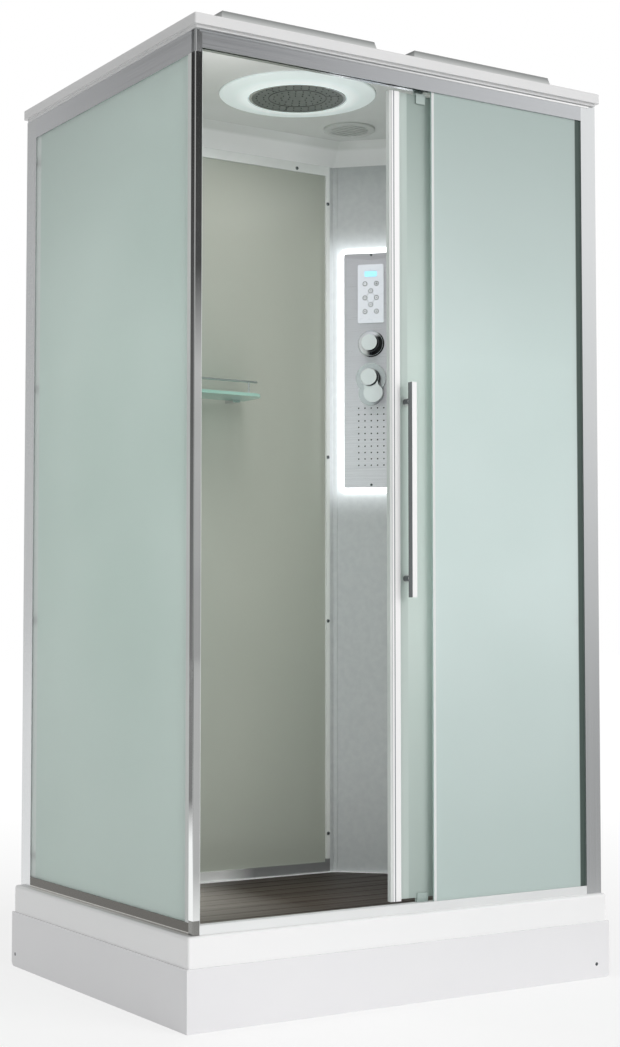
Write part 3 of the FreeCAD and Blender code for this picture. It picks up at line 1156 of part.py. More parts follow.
def run(name, radius, length, x, y, z, axis=Vector(0, 0, 1), degrees=0):
    """A straight length of round bar or bore."""
    rod = doc.addObject("Part::Cylinder", name)
    rod.setExpression("Radius", formula(radius))
    rod.setExpression("Height", formula(length))
    return place(rod, x, y, z, axis, degrees)


def elbow(name, radius, x, y, z, start, end):
    """A quarter bend about (x, y, z), from the start direction round to the end direction."""
    bend = doc.addObject("Part::Torus", name)
    bend.setExpression("Radius1", formula("pipe_bend"))
    bend.setExpression("Radius2", formula(radius))
    bend.Angle3 = 90
    place(bend, x, y, z)
    turned = FreeCAD.Rotation(start, end, start.cross(end), "XYZ")
    bend.Placement = FreeCAD.Placement(bend.Placement.Base, turned)
    return bend


def make_rain_pipe():
    """Rigid riser: from the valve block up through the roof and across to the lamp pan."""
    x0 = "lamp_x"
    y0 = "lamp_y"
    x1 = "(wall_face_x - column_leg / 2 + (edge_lip + pipe_back) / sqrt(2))"
    y1 = "(wall_face_y - column_leg / 2 + (edge_lip + pipe_back) / sqrt(2))"
    low = "(dome_top + lamp_depth - lamp_wall)"
    high = "(dome_top + pipe_rise)"
    bend = "pipe_bend"
    right, back, up = Vector(1, 0, 0), Vector(0, 1, 0), Vector(0, 0, 1)
    solids = []
    for part, radius, past in (("outer", "pipe_radius", "0"), ("bore", "(pipe_radius - pipe_wall)", "1")):
        members = [
            run(f"riser_{part}_1", radius, f"{high} - {bend} - {low} + {past}", x0, y0, f"{low} - {past}"),
            elbow(f"riser_{part}_2", radius, f"{x0} + {bend}", y0, f"{high} - {bend}", -right, up),
            run(f"riser_{part}_3", radius, f"{x1} - {x0} - 2 * {bend}", f"{x0} + {bend}", y0, high, back, 90),
            elbow(f"riser_{part}_4", radius, f"{x1} - {bend}", f"{y0} + {bend}", high, -back, right),
            run(f"riser_{part}_5", radius, f"{y1} - {y0} - 2 * {bend}", x1, f"{y0} + {bend}", high, right,
                -90),
            elbow(f"riser_{part}_6", radius, x1, f"{y1} - {bend}", f"{high} - {bend}", up, back),
            run(f"riser_{part}_7", radius, f"{high} - {bend} - valve_high + {past}", x1, y1,
                f"valve_high - {past}"),
        ]
        joined = doc.addObject("Part::MultiFuse", f"riser_{part}")
        joined.Shapes = members
        solids.append(joined)
    pipe = doc.addObject("Part::Cut", "rain_pipe")
    pipe.Base, pipe.Tool = solids
    PIECES["rain_pipe"] = pipe


# ---------------------------------------------------------------- shelf

def make_shelf():
    """Glass shelf with a rounded front, a chrome gallery rail and two wall clamps."""
    glass = piece("shelf_glass")
    right = "(shelf_left + shelf_length)"
    back = "(wall_face_y - shelf_wall_gap)"
    low = "(shelf_top - shelf_thickness)"
    pad(glass, "z", rectangle("shelf_left", "shelf_front", right, back), low, "shelf_top")
    soften(glass, "shelf_round", lambda edge: is_along(edge, "z") and near(edge.CenterOfMass.y,
                                                                           "shelf_front"))
    members = []
    rail_y = "(shelf_front + gallery_setback + gallery_radius)"
    rail_z = "(shelf_top + gallery_height)"
    gallery = loose("gallery")
    ends = ("(shelf_left + gallery_inset)", f"({right} - gallery_inset)")
    pad(gallery, "x", [], f"{ends[0]} - gallery_end", f"{ends[1]} + gallery_end",
        circles=[(rail_y, rail_z, "gallery_radius")])
    for x in ends:
        pad(gallery, "z", [], "shelf_top", rail_z, circles=[(x, rail_y, "gallery_post")])
    members.append(gallery)
    half = "((wall_depth - glass_thickness) / 2)"
    wall_glass = f"(wall_face_y + {half})"
    for k, x in enumerate((f"(shelf_left + bracket_inset)", f"({right} - bracket_inset)")):
        clamp = loose(f"shelf_clamp_{k}")
        pad(clamp, "z", rectangle(f"{x} - bracket_width / 2", f"{wall_glass} - bracket_reach",
                                  f"{x} + bracket_width / 2", wall_glass),
            f"{low} - bracket_deep / 2", f"shelf_top + bracket_deep / 2")
        pocket(clamp, "z", rectangle(f"{x} - bracket_width", f"{wall_glass} - bracket_reach - 1",
                                     f"{x} + bracket_width", back),
               low, "shelf_top")
        members.append(clamp)
    group("shelf_fittings", members)


# ---------------------------------------------------------------- sliding door

def make_door():
    """Pane with a chrome stile, magnetic seal and wiper, hung on two rollers and guided below."""
    front = "(door_y - glass_thickness)"
    glass = piece("door_glass")
    left = "(door_edge_x + magnet_width + stile_width - stile_slot + 1)"
    right = "(door_right - seal_lap)"
    pad(glass, "z", rectangle(left, front, right, "door_y"), "door_low", "door_top")
    studs = [("handle_x", z, "stud_radius + stud_play") for z in ("handle_low + handle_inset",
                                                                  "handle_high - handle_inset")]
    pocket(glass, "y", [], f"{front} - 1", "door_y + 1", circles=studs)

    stile = piece("door_stile")
    x0 = "(door_edge_x + magnet_width)"
    x1 = f"({x0} + stile_width)"
    y0 = "(door_mid - stile_depth / 2)"
    y1 = "(door_mid + stile_depth / 2)"
    slot_low = f"({front} - glass_play / 2)"
    slot_high = "(door_y + glass_play / 2)"
    stile_low = "(door_low - 4)"
    pad(stile, "z", [(x0, y0), (x1, y0), (x1, slot_low), (f"{x1} - stile_slot", slot_low),
                     (f"{x1} - stile_slot", slot_high),
                     (x1, slot_high), (x1, y1), (x0, y1)], stile_low, "door_top")
    pocket(stile, "z", rectangle(f"{x0} + frame_wall", f"{y0} + frame_wall",
                                 f"{x1} - stile_slot - frame_wall", f"{y1} - frame_wall"),
           stile_low, "door_top")
    soften(stile, "1.5", lambda edge: is_along(edge, "z") and near(edge.CenterOfMass.y, y0)
           and near(edge.CenterOfMass.x, x0))

    magnet = loose("magnet_strip")
    pad(magnet, "z", rectangle("door_edge_x", f"{y0} + 1", x0, f"{y1} - 1"), stile_low, "door_top")
    wiper = loose("wiper")
    pad(wiper, "z", [("door_right", f"{front} - seal_wall"), ("door_right", "door_y + seal_wall"),
                     ("door_right - 9", "door_y + seal_wall"), ("door_right - 9", "door_y"),
                     (right, "door_y"),
                     (right, front), ("door_right - 9", front), ("door_right - 9", f"{front} - seal_wall")],
        "door_low", "door_top - carrier_jaw - 4")
    group("door_seals", [magnet, wiper])

    make_handle(front)
    make_rollers()


def make_handle(front):
    """Square bar on two standoffs, bolted through the pane."""
    body = piece("door_handle")
    bar_back = f"({front} - handle_stand)"
    pad(body, "z", rectangle("handle_x - handle_width / 2", f"{bar_back} - handle_depth",
                             "handle_x + handle_width / 2", bar_back),
        "handle_low", "handle_high")
    soften(body, "1.2", lambda edge: is_along(edge, "z"))
    spots = ("handle_low + handle_inset", "handle_high - handle_inset")
    pad(body, "y", [], f"{bar_back} - 1", front, circles=[("handle_x", z, "standoff_radius") for z in spots])
    pad(body, "y", [], front, "door_y", circles=[("handle_x", z, "stud_radius") for z in spots])
    pad(body, "y", [], "door_y", "door_y + washer_height",
        circles=[("handle_x", z, "washer_radius") for z in spots])


def make_rollers():
    """Clamps on the pane's top edge with an axle each, their wheels, and the guides below."""
    front = "(door_y - glass_thickness)"
    carriers = []
    guides = []
    play = "(glass_play / 2)"
    axle_end = "(wheel_y - wheel_gap - axle_head)"
    for name, x in (("left", "roller_left"), ("right", "roller_right")):
        carrier = loose(f"carrier_{name}")
        low = "(door_top - carrier_jaw)"
        half = "carrier_width / 2"
        plate_front = f"(door_y + {play})"
        plate_back = f"({plate_front} + carrier_plate)"
        section = [(f"{front} - {play} - carrier_plate", low), (f"{front} - {play}", low),
                   (f"{front} - {play}", f"door_top + {play}"),
                   (plate_front, f"door_top + {play}"), (plate_front, low), (plate_back, low),
                   (plate_back, "wheel_z + axle_radius + 5"), (plate_front, "wheel_z + axle_radius + 5"),
                   (plate_front, "door_top + 4"), (f"{front} - {play} - carrier_plate", "door_top + 4")]
        pad(carrier, "x", section, f"{x} - {half}", f"{x} + {half}")
        pad(carrier, "y", [], axle_end, plate_front, circles=[(x, "wheel_z", "axle_radius")])
        pad(carrier, "y", [], axle_end, f"{axle_end} + axle_head",
            circles=[(x, "wheel_z", "axle_radius + 1.5")])
        pad(carrier, "y", [], f"wheel_y + wheel_width + wheel_gap", plate_front,
            circles=[(x, "wheel_z", "axle_radius + 1.5")])
        carriers.append(carrier)
        wheel = piece(f"roller_wheel_{name}")
        flat = sketch(wheel, "XY_Plane", [("axle_radius + axle_play", "0"), ("wheel_radius", "0"),
                                          ("wheel_radius", "wheel_width / 2 - 1.5"),
                                          ("wheel_radius", "wheel_width / 2 + 1.5"),
                                          ("wheel_radius", "wheel_width"),
                                          ("axle_radius + axle_play", "wheel_width")])
        form = wheel.newObject("PartDesign::Revolution", "Turned")
        form.Profile = flat
        form.ReferenceAxis = (flat, ["V_Axis"])
        form.Angle = 360
        wheel.Tip = form
        place(wheel, x, "wheel_y", "wheel_z")
        guide = loose(f"guide_{name}")
        tread = "(rim_top + front_sill_height - sill_step)"
        foot = f"({tread} + guide_lift)"
        shoulder = f"({tread} + rail_height + guide_lift)"
        inner = "(rail_width / 2 + guide_play)"
        outer = f"({inner} + guide_wall)"
        jaw = f"(glass_thickness / 2 + {play})"
        cheek = f"({jaw} + guide_wall)"
        crown = "(door_low + guide_height / 2)"
        guide_section = [(f"door_mid - {outer}", foot), (f"door_mid - {inner}", foot),
                         (f"door_mid - {inner}", shoulder),
                         (f"door_mid + {inner}", shoulder), (f"door_mid + {inner}", foot),
                         (f"door_mid + {outer}", foot),
                         (f"door_mid + {outer}", shoulder), (f"door_mid + {cheek}", "door_low - 2"),
                         (f"door_mid + {cheek}", crown),
                         (f"door_mid + {jaw}", crown), (f"door_mid + {jaw}", f"door_low - {play}"),
                         (f"door_mid - {jaw}", f"door_low - {play}"), (f"door_mid - {jaw}", crown),
                         (f"door_mid - {cheek}", crown), (f"door_mid - {cheek}", "door_low - 2"),
                         (f"door_mid - {outer}", shoulder)]
        pad(guide, "x", guide_section, f"{x} - guide_width / 2", f"{x} + guide_width / 2")
        guides.append(guide)
    group("roller_carriers", carriers)
    group("door_guides", guides)


make_tray()
make_aprons()
make_base()
make_waste()
make_deck()
make_posts()
make_headers()
make_sills()
make_corner_brackets()
make_glass()
make_walls()
make_column()
make_light_guide()
make_faceplate()
make_keypad()
make_valves()
make_steam()
make_roof()
make_lamp()
make_rain_head()
make_fan()
make_rain_pipe()
make_shelf()
make_door()
doc.recompute()

for item in doc.Objects:
    if "Invalid" in item.State or "Error" in item.State:
        raise RuntimeError(f"{item.Label} failed: {item.State}")
for name, item in PIECES.items():
    if item.Shape.isNull() or not item.Shape.isValid():
        raise RuntimeError(f"{name} has no valid shape")
    item.Label = name
    item.Shape.exportStep(f"parts/{name}.step")
print(len(PIECES), "pieces written")
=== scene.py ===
# %% [markdown]
# A steam shower cabin: a white tray, an aluminium frame with frosted glass, a sliding door that
# stands open, and a lit column of controls in the far corner. The shapes come from the packed
# model, so this file is about finishes and about the small details that only a close look shows.

# %% Load the frame and keep its size
import bmesh
import bpy
import math
from functools import partial
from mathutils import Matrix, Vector


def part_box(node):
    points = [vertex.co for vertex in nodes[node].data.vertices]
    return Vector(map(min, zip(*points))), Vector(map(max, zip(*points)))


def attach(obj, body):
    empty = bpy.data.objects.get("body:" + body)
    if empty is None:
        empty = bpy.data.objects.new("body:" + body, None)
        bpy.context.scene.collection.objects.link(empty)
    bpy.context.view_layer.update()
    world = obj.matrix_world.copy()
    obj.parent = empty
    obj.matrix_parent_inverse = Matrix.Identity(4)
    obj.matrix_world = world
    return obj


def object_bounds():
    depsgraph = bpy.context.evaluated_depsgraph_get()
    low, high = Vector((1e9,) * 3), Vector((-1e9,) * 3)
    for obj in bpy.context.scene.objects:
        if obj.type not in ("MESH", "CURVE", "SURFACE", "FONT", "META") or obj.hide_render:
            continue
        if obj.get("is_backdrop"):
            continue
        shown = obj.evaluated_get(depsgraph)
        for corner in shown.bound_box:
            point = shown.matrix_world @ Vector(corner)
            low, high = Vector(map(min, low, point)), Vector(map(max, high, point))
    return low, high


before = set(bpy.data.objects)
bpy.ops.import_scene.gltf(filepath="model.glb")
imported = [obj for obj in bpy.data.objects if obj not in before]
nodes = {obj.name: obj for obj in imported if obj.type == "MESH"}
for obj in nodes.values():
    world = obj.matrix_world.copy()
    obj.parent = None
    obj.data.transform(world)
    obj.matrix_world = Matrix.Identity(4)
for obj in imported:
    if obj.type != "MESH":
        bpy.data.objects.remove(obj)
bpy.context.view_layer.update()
bpy.ops.object.select_all(action="DESELECT")

# %% [markdown]
# The photograph was taken from the left front, at about waist height, with a lens long enough to
# keep the verticals almost parallel. The camera stands where the edges of the tray and of the
# roof agree with the picture.

# %% Camera
camera_data = bpy.data.cameras.new("camera")
camera = bpy.data.objects.new("camera", camera_data)
bpy.context.scene.collection.objects.link(camera)
camera.location = (-2.3846, -3.7579, 0.8495)
camera.rotation_euler = (math.radians(93.0755), 0, math.radians(-32.527))
camera_data.sensor_width = 36
camera_data.lens = 62.2
bpy.context.scene.camera = camera
print("lens:", camera_data.lens, "mm")

# %% [markdown]
# Finishes are node trees. One helper turns a written colour into the linear numbers that the
# renderer adds up. Another adds a node, sets it and links it, so a tree reads as a few lines:
# a node is given to the next one as its input, and its first output in use is what is linked.

# %% Colour and node helpers
def srgb(text):
    """A colour as written in a paint program, turned to linear light."""
    parts = [int(text[i:i + 2], 16) / 255 for i in (1, 3, 5)]
    return (*[c / 12.92 if c <= 0.04045 else ((c + 0.055) / 1.055) ** 2.4 for c in parts], 1.0)


def add(tree, kind, inputs=(), **settings):
    """Add a node. Settings are its properties; inputs fill its sockets in use, in order or by name.

    An input is a number, a written colour, another node or one of its outputs.
    """
    new = tree.nodes.new("ShaderNode" + kind)
    for name, value in settings.items():
        setattr(new, name, value)
    in_use = [socket for socket in new.inputs if socket.enabled]
    for key, value in inputs.items() if isinstance(inputs, dict) else enumerate(inputs):
        socket = new.inputs[key] if isinstance(key, str) else in_use[key]
        if isinstance(value, bpy.types.Node):
            value = next(output for output in value.outputs if output.enabled)
        if isinstance(value, bpy.types.NodeSocket):
            tree.links.new(value, socket)
        else:
            socket.default_value = srgb(value) if isinstance(value, str) else value
    return new


def start(name):
    """A new material, `add` for its empty node tree, and the object's own coordinates."""
    material = bpy.data.materials.new(name)
    material.use_nodes = True
    material.node_tree.nodes.clear()
    node = partial(add, material.node_tree)
    return material, node, node("TexCoord").outputs["Object"]


def paint(material, *names):
    """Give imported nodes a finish."""
    for name in names:
        mesh = nodes[name].data
        mesh.materials.clear()
        mesh.materials.append(material)
    print(material.name, "on", ", ".join(names))


# Noise clusters round a half, so its middle part is what a pattern spreads over its own range.
LOW, HIGH = 0.3, 0.7
BROAD_LOW, BROAD_HIGH = 0.35, 0.65
print("helpers ready")

# %% [markdown]
# The studio is a white room. The floor and the world show as white to the camera. Metal shows
# what stands around it, so for reflections the room has a bright right side, a dimmer left side
# and a dark doorway behind the camera's left shoulder, which draws the dark streak that bright
# metal always has in a photograph. A narrow dark stand on each side shows only in a true mirror,
# such as the corner post.

# %% World
TO_BRIGHT_SIDE = (0.866, -0.5, 0)
TO_FAR_LEFT = (-0.42, 0.91, 0)
TO_DOORWAY = (-0.876, -0.482, 0)
ALONG_STANDS = (0.877, 0.480, 0)

bpy.context.scene.view_settings.view_transform = "Standard"
world = bpy.data.worlds.new("studio")
bpy.context.scene.world = world
world.use_nodes = True
world.node_tree.nodes.clear()
node = partial(add, world.node_tree)
path = node("LightPath").outputs
look = node("TexCoord").outputs["Generated"]
_, depth, height = node("SeparateXYZ", [look]).outputs
print("world:", world.name)

# %% What mirrors see: a bright right side and a dimmer left one
# Both fall off towards the horizon; the far left one gets a little stronger there.
right = node("VectorMath", [look, TO_BRIGHT_SIDE], operation="DOT_PRODUCT")
right = node("MapRange", [right, 0.84, 0.915, 0.70, 1.20])
level = node("Math", [right, node("MapRange", [height, 0.0, 0.25, 0.55, 1.0])],
             operation="MULTIPLY")
left = node("VectorMath", [look, TO_FAR_LEFT], operation="DOT_PRODUCT")
left = node("Math", [node("MapRange", [left, 0.6, 0.95]),
                     node("MapRange", [height, 0.0, 0.3, 0.42, -0.14])], operation="MULTIPLY")
level = node("Math", [level, left], operation="ADD")
print("sides:", len(world.node_tree.nodes), "nodes")

# %% What mirrors see: the dark doorway and the two stands
# The doorway is darkest above the horizon.
doorway = node("VectorMath", [look, TO_DOORWAY], operation="DOT_PRODUCT")
dark = node("Math", [node("MapRange", [doorway, 0.75, 0.95, 1.0, 0.0]),
                     node("MapRange", [height, 0.0, 0.28, 0.24, 0.05])], operation="MAXIMUM")
mirror = node("Math", [level, dark], operation="MULTIPLY")
# A stand is narrow. On the camera's side it shows only above a fifth of the way up.
stand = node("VectorMath", [look, ALONG_STANDS], operation="DOT_PRODUCT")
stand = node("Math", [stand], operation="ABSOLUTE")
shade = node("Math", [node("MapRange", [stand, 0.02, 0.05]),
                      node("MapRange", [height, 0.0, 0.28, 0.22, 0.05])], operation="MAXIMUM")
foot = node("Math", [node("MapRange", [depth, -0.1, 0.1, 1.0, 0.0]),
                     node("MapRange", [height, 0.14, 0.2, 0.8, 0.0])], operation="MULTIPLY")
shade = node("Math", [shade, foot], operation="MAXIMUM")
mirror = node("Math", [mirror, shade], operation="MULTIPLY")
print("mirror world:", len(world.node_tree.nodes), "nodes")

# %% What the camera and matt surfaces see
# The camera, and light that came through glass, see plain white; matt surfaces get a soft fill.
seen = node("Math", [path["Is Camera Ray"], path["Is Transmission Ray"]], operation="MAXIMUM")
plain = node("MapRange", [seen, 0, 1, 0.55, 1.0])
gloss = node("Math", [path["Is Glossy Ray"], seen], operation="SUBTRACT")
strength = node("Mix", [gloss, plain, mirror], data_type="FLOAT")
back = node("Background", {"Color": "#FFFFFF", "Strength": strength})
node("OutputWorld", {"Surface": back})
print("world nodes:", len(world.node_tree.nodes))

# %% [markdown]
# The floor is a pale sheet. It keeps the cabin's shadow, which is why part of it stays a plain
# matt surface, and it darkens in reflections the way the world above it does.

# %% Floor
bpy.ops.mesh.primitive_plane_add(size=60, location=(0, 0, 0))
floor = bpy.context.object
floor.name = "floor"
material, node, place = start("studio floor paint")
path = node("LightPath").outputs
seen = node("Math", [path["Is Camera Ray"], path["Is Transmission Ray"]], operation="MAXIMUM")
# Three cells per metre: the sheet's cloudiness changes about every 330 mm.
cloud = node("TexNoise", {"Vector": place, "Scale": 3.0, "Detail": 4.0})
matt = node("BsdfDiffuse", {"Color": node("Mix", [cloud, "#F6F6F6", "#FAFAFA"],
                                          data_type="RGBA")})
print("floor:", tuple(round(v, 1) for v in floor.dimensions))

# %% What mirrors see of the floor
# Bright towards one diagonal, dark at the doorway and at the stand.
across = node("VectorMath", [place, (0.71, -0.71, 0)], operation="DOT_PRODUCT")
across = node("MapRange", [across, 0.2, 2.2, 1.25, 0.45])
doorway = node("VectorMath", [place, TO_DOORWAY], operation="DOT_PRODUCT")
doorway = node("MapRange", [doorway, 2.6, 4.6, 1.0, 0.2])
stand = node("VectorMath", [place, ALONG_STANDS], operation="DOT_PRODUCT")
stand = node("Math", [stand, 0.70], operation="ADD")
stand = node("Math", [stand], operation="ABSOLUTE")
rear = node("SeparateXYZ", [place]).outputs["Y"]
stand = node("Math", [node("MapRange", [stand, 0.10, 0.35]),
                      node("MapRange", [rear, 2.4, 3.8, 1.0, 0.2])], operation="MAXIMUM")
mirror = node("Math", [across, doorway], operation="MINIMUM")
mirror = node("Math", [mirror, stand], operation="MULTIPLY")
print("floor nodes:", len(material.node_tree.nodes))

# %% What the camera sees of the floor
# A share of shadow near the cabin, and plain white far away.
distance = node("VectorMath", [place], operation="LENGTH")
far = node("MapRange", [distance, 1.2, 4.0, 0.72, 1.0])
gloss = node("Math", [path["Is Glossy Ray"], seen], operation="SUBTRACT")
share = node("Mix", [seen, gloss, far], data_type="FLOAT")
power = node("Mix", [gloss, 1.02, mirror], data_type="FLOAT")
glow = node("Emission", {"Color": "#FFFFFF", "Strength": power})
node("OutputMaterial", {"Surface": node("MixShader", [share, matt, glow])})
floor.data.materials.append(material)
floor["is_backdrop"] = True
print("floor staged:", floor.name)

# %% [markdown]
# One broad lamp from the front right makes the front brighter than the left side. Inside, the
# ring in the ceiling lights the top of the walls, and a soft column of light stands for what the
# pale walls throw back and forth. No lamp is seen itself, and only the glare at the foot of the
# back wall shows in mirrors.

# %% Lamps
DAYLIGHT = (1.0, 0.985, 0.99)
INDOOR = (1.0, 0.955, 0.975)


def lamp(name, kind, colour, energy, location, **settings):
    """A lamp that the camera and mirrors don't see; its light stays."""
    data = bpy.data.lights.new(name, kind)
    data.color = colour
    data.energy = energy
    for key, value in settings.items():
        setattr(data, key, value)
    made = bpy.data.objects.new(name, data)
    bpy.context.scene.collection.objects.link(made)
    made.location = location
    made.visible_camera = False
    made.visible_glossy = False
    made.visible_transmission = False
    return made


sun = lamp("front lamp", "SUN", DAYLIGHT, 1.25, (0, 0, 3), angle=math.radians(40))
sun.rotation_euler = Vector((0.42, -0.85, 0.32)).to_track_quat("Z", "Y").to_euler()
lamp("ring light", "AREA", INDOOR, 2.4, (-0.02, 0.008, 2.135), shape="DISK", size=0.36)
for number, (height, energy) in enumerate(((0.42, 2.9), (0.95, 2.1), (1.45, 1.7), (1.85, 0.4))):
    lamp(f"inner light {number}", "POINT", INDOOR, energy, (-0.03, -0.02, height),
         shadow_soft_size=0.22)
ceiling_glow = lamp("ceiling glow", "AREA", INDOOR, 0.5, (-0.40, -0.26, 1.92),
                    shape="DISK", size=0.22)
ceiling_glow.rotation_euler = (math.pi, 0, 0)
glare = lamp("floor glare", "AREA", DAYLIGHT, 0.4, (-0.26, 0.40, 0.27),
             shape="RECTANGLE", size=0.2, size_y=0.14)
glare.rotation_euler = (math.radians(-90), 0, 0)
glare.visible_glossy = True
print("lamps:", len(bpy.data.lights))

# %% [markdown]
# The tray, its skirt panels and the roof are acrylic sheet, vacuum formed and backed with glass
# fibre. Formed acrylic is very glossy, but it is never quite flat: a broad, shallow waviness
# from the mould moves the highlights, and that is what tells it from paint.

# %% Formed acrylic
MOULD_WAVES = 7.0    # per metre: a wave about every 140 mm
WIPE_MARKS = 30.0    # per metre: dull patches about 33 mm wide, as a cloth leaves them
LIP = (2.1405, 2.146)     # heights between which the roof's lip ends
CROWN = (2.160, 2.176)    # heights between which the painted shade on the crown deepens


def formed_acrylic(name, light, shade, roughness, crown=None):
    material, node, place = start(name)
    waves = node("TexNoise", {"Vector": place, "Scale": MOULD_WAVES, "Detail": 2.0})
    wipes = node("TexNoise", {"Vector": place, "Scale": WIPE_MARKS, "Detail": 2.0})
    tone = node("Mix", [waves, light, shade], data_type="RGBA")
    if crown:
        # Above the lip the outside is painted shade, a grey that deepens to dark on the crown; the
        # ceiling below it is painted shade too, a soft grey white.
        facing = node("SeparateXYZ", [node("TexCoord").outputs["Normal"]]).outputs["Z"]
        height = node("SeparateXYZ", [place]).outputs["Z"]
        above = node("MapRange", [height, *LIP])
        outer = node("Math", [above, node("MapRange", [facing, -0.6, -0.4])],
                     operation="MULTIPLY")
        top = node("Mix", [node("MapRange", [height, *CROWN]), "#D2D4D3", crown],
                   data_type="RGBA")
        tone = node("Mix", [above, tone, "#CED0CE"], data_type="RGBA")
        tone = node("Mix", [outer, tone, top], data_type="RGBA")
    gloss = node("MapRange", [wipes, LOW, HIGH, roughness, roughness + 0.02])
    bump = node("Bump", {"Strength": 0.03, "Distance": 0.004, "Height": waves})
    skin = node("BsdfPrincipled", {"Base Color": tone, "Roughness": gloss, "IOR": 1.49,
                                   "Normal": bump, "Coat Weight": 0.3, "Coat Roughness": 0.08})
    node("OutputMaterial", {"Surface": skin})
    return material


paint(formed_acrylic("formed acrylic", "#F6F7F7", "#F9F9F9", 0.22), "tray", "lamp_pan")
paint(formed_acrylic("skirt panel acrylic", "#ECECEE", "#EFEFF0", 0.25),
      "front_apron", "left_apron")
# The roof is white acrylic; its crown's grey and its ceiling's grey white are painted shade.
paint(formed_acrylic("roof acrylic, painted shade on crown and ceiling", "#E2E3E3", "#E6E6E6", 0.25, crown="#8F9291"),
      "roof")

# %% [markdown]
# The frame is extruded aluminium with a satin anodised skin. The die leaves faint lines that run
# the whole length of a profile, so the grain is noise stretched hard along that direction.

# %% Anodised aluminium
DIE_LINES = 900    # per metre: lines about 1 mm apart; real ones are finer and wouldn't show
DIE_LENGTH = 2     # per metre: a line runs for half a metre before it changes
SATIN = 0.22       # roughness of a satin etch under the anodised layer


def anodised(name, tones, along):
    """tones: the lines' two tones, and a third for a broad unevenness of the bath."""
    material, node, place = start(name)
    stretch = [DIE_LENGTH if axis == along else DIE_LINES for axis in "xyz"]
    stretched = node("Mapping", {"Vector": place, "Scale": stretch})
    lines = node("TexNoise", {"Vector": stretched, "Scale": 1.0, "Detail": 3.0})
    # 2.2 per metre: the bath's tone drifts about every 450 mm.
    bath = node("TexNoise", {"Vector": place, "Scale": 2.2, "Detail": 1.0})
    tone = node("Mix", [node("MapRange", [lines, LOW, HIGH]), tones[0], tones[1]],
                data_type="RGBA")
    drift = node("MapRange", [bath, BROAD_LOW, BROAD_HIGH, 0.0, 0.25])
    tone = node("Mix", [drift, tone, tones[2]], data_type="RGBA")
    gloss = node("MapRange", [lines, LOW, HIGH, SATIN - 0.04, SATIN + 0.04])
    bump = node("Bump", {"Strength": 0.06, "Distance": 0.0005, "Height": lines})
    metal = node("BsdfPrincipled", {"Base Color": tone, "Metallic": 1.0, "Roughness": gloss,
                                    "Normal": bump})
    node("OutputMaterial", {"Surface": metal})
    return material


paint(anodised("anodised aluminium, across", ("#BDBFC2", "#C4C6C8", "#B8BABD"), "x"),
      "front_header")
paint(anodised("anodised aluminium, depth", ("#D6D8DA", "#DBDDDF", "#D1D3D5"), "y"),
      "side_header")
paint(anodised("anodised aluminium, upright", ("#D8DADB", "#DEE0E1", "#D2D4D5"), "z"),
      "right_front_post", "left_rear_post")

# %% [markdown]
# Chrome plating mirrors the studio, and only its handling marks give it away: very fine scratches
# that catch a little light. They are noise in the roughness, far too weak to see as lines.
# Under them lies a broad smear, as of a hand or a cloth.

# %% Polished chrome
FINE_WIPES = 45.0    # per metre: marks about 22 mm long, coarser than real ones so that they show
HAND_SMEAR = 6.0     # per metre: a smear about every 170 mm
FINGER_SMEAR = 20.0  # per metre: on small parts, one about every 50 mm


def chrome_plate(name, light, shade, roughness, marks, metallic=1.0):
    material, node, place = start(name)
    wipes = node("TexNoise", {"Vector": place, "Scale": FINE_WIPES, "Detail": 6.0})
    smear = node("TexNoise", {"Vector": place, "Scale": HAND_SMEAR, "Detail": 2.0})
    gloss = node("MapRange", [wipes, 0.35, 0.7, roughness, roughness + marks])
    tone = node("Mix", [node("MapRange", [smear, 0.4, 0.7]), light, shade], data_type="RGBA")
    metal = node("BsdfPrincipled", {"Base Color": tone, "Metallic": metallic,
                                    "Roughness": gloss})
    node("OutputMaterial", {"Surface": metal})
    return material


paint(chrome_plate("polished chrome", "#DDDFE1", "#D6D8DB", 0.05, 0.05),
      "shelf_fittings", "steam_outlet", "rain_head", "rain_pipe", "glass_clips")
paint(chrome_plate("bright anodised sill", "#F4F6F6", "#EFF1F1", 0.12, 0.05, metallic=0.35),
      "front_sill")
paint(chrome_plate("mirror polished post", "#F6F8F7", "#F0F2F1", 0.03, 0.02), "corner_post")

# %% [markdown]
# Some chrome mirrors things that the studio doesn't hold: the dark deck, the dark side of the
# room or the step of its own profile. There the colour itself changes, by place or by the way
# the surface faces, because a light tone and a dark one are all that the eye gets from it.

# %% Wall rails
# Along the bottom they mirror the dark deck, except on the left, where they catch the daylight.
material, node, place = start("bright anodised wall rails")
smear = node("TexNoise", {"Vector": place, "Scale": HAND_SMEAR, "Detail": 2.0})
tone = node("Mix", [node("MapRange", [smear, 0.4, 0.7]), "#FBFDFC", "#F4F6F5"],
            data_type="RGBA")
across, _, height = node("SeparateXYZ", [place]).outputs
deck = node("Math", [node("MapRange", [height, 0.200, 0.204, 1.0, 0.0]),
                     node("MapRange", [across, 0.0, 0.10, 0.0, 0.8])], operation="MULTIPLY")
tone = node("Mix", [deck, tone, "#5F6163"], data_type="RGBA")
gloss = node("MapRange", [smear, LOW, HIGH, 0.14, 0.19])
metal = node("BsdfPrincipled", {"Base Color": tone, "Metallic": 0.35, "Roughness": gloss})
node("OutputMaterial", {"Surface": metal})
paint(material, "back_frame", "right_frame")

